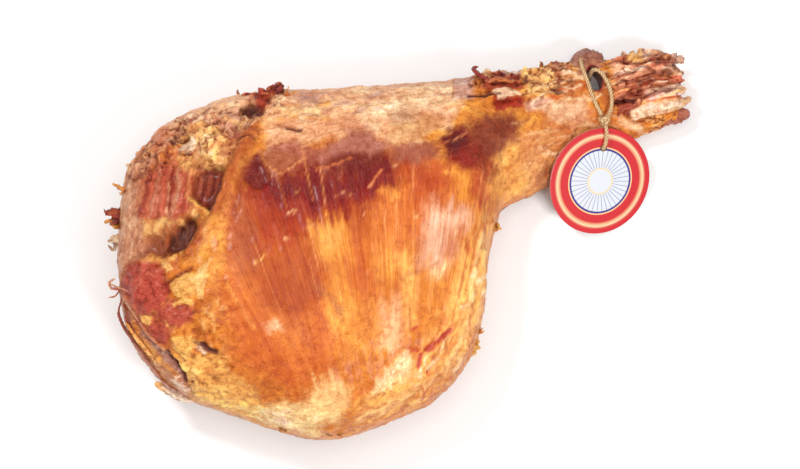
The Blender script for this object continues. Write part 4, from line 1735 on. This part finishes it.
def tag_disc():
    """The card: each ring blends from the rim of the hole to the rim of the card, front and back,
    with eased edges. Returns points, faces and the flat place of each point on the print."""
    ease = np.array([0.0, 0.35, 0.7, 1.0]) * 0.5 * np.pi
    edge = 0.35
    t = np.concatenate([[0, 0.02], np.linspace(0.06, 0.94, 34), [0.98, 1]])
    front = np.stack([t, np.full(len(t), TAG_THICKNESS / 2)], axis=1)
    rim = np.stack([1 + 0 * ease, TAG_THICKNESS / 2 - edge + edge * np.cos(ease)], axis=1)
    section = np.concatenate([front, rim[1:], (rim[1:] * (1, -1))[::-1], (front * (1, -1))[::-1]])
    swell = np.zeros(len(section))
    swell[len(t) : len(t) + 6] = edge * np.concatenate([np.sin(ease[1:]), np.sin(ease[1:])[::-1]])
    angle = np.linspace(0, 2 * np.pi, 180, endpoint=False)
    around = np.stack([np.cos(angle), np.sin(angle)], axis=1)
    hole = around * TAG_HOLE_RADIUS + (0, TAG_HOLE_REACH)
    share = section[:, 0, None, None]
    flat = hole * (1 - share) + around * (TAG_RADIUS - edge) * share + around * swell[:, None, None]
    flat = flat.reshape(-1, 2)
    height = np.repeat(section[:, 1], len(angle))
    local = np.column_stack([flat, height])
    ch, sh, ct, st, cs, ss = (
        f(v) for v in (TAG_HEADING, TAG_TILT, TAG_SPIN) for f in (math.cos, math.sin)
    )
    spin = np.array([(cs, -ss, 0), (ss, cs, 0), (0, 0, 1)])
    tilt = np.array([(1, 0, 0), (0, ct, -st), (0, st, ct)])
    heading = np.array([(ch, -sh, 0), (sh, ch, 0), (0, 0, 1)])
    lift = TAG_RADIUS * st + TAG_THICKNESS / 2 * ct + 0.4
    points = local @ (heading @ tilt @ spin).T + (*TAG_PLACE, lift) + CAD_SHIFT
    return points, grid_faces(len(section), len(angle), wrap_rows=True), local


def card_material():
    """Glossy red card. Rays stand where the radius times |sin(half the count times the turn)| is
    small, and rings lie between pairs of radii. The back is plain pale board."""
    material, tree, shader = new_material("printed_card", 0.42, 0.25)
    parts = add_node(
        tree, "ShaderNodeSeparateXYZ", Vector=attribute_node(tree, "print")["Vector"],
    ).outputs
    radius = math_node(
        tree, "SQRT",
        math_node(
            tree, "ADD", math_node(tree, "MULTIPLY", parts["X"], parts["X"]),
            math_node(tree, "MULTIPLY", parts["Y"], parts["Y"]),
        ),
    )
    turn = math_node(tree, "ARCTAN2", parts["Y"], parts["X"])
    wave = math_node(tree, "SINE", math_node(tree, "MULTIPLY", turn, RAY_COUNT / 2))
    ray = math_node(
        tree, "LESS_THAN", math_node(tree, "MULTIPLY", math_node(tree, "ABSOLUTE", wave), radius),
        RAY_WIDTH,
    )

    def band(low, high, edge=0.25):
        """1 between two radii, with a soft edge."""
        rise = math_node(tree, "DIVIDE", math_node(tree, "SUBTRACT", radius, low), edge, clamp=True)
        fall = math_node(tree, "DIVIDE", math_node(tree, "SUBTRACT", high, radius), edge, clamp=True)
        return math_node(tree, "MULTIPLY", rise, fall)

    colour = mix_node(tree, band(-1.0, 31.0), PRINT_RED, PRINT_PALE)
    colour = mix_node(tree, math_node(tree, "MULTIPLY", ray, band(13.0, 30.0)), colour, PRINT_BLUE)
    for low, high, edge, strength, shade in PRINT_RINGS:
        colour = mix_node(
            tree, math_node(tree, "MULTIPLY", band(low, high, edge), strength), colour, shade,
        )
    is_back = math_node(tree, "LESS_THAN", parts["Z"], 0.2)
    colour = mix_node(tree, is_back, colour, BOARD)
    tree.links.new(colour, shader.inputs["Base Color"])
    shader.inputs["Coat Weight"].default_value = 0.15
    shader.inputs["Coat Roughness"].default_value = 0.1
    return material


tag_points, tag_faces, tag_print = tag_disc()
tag = make_mesh("tag_card", tag_points, tag_faces)
set_attribute(tag, "print", tag_print)
tag.data.materials.append(card_material())
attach(tag, "root")
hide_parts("tag")

size = {
    "cad_box": [list(corner) for corner in cad_box],
    "visual_box": [list(corner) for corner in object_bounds()],
}
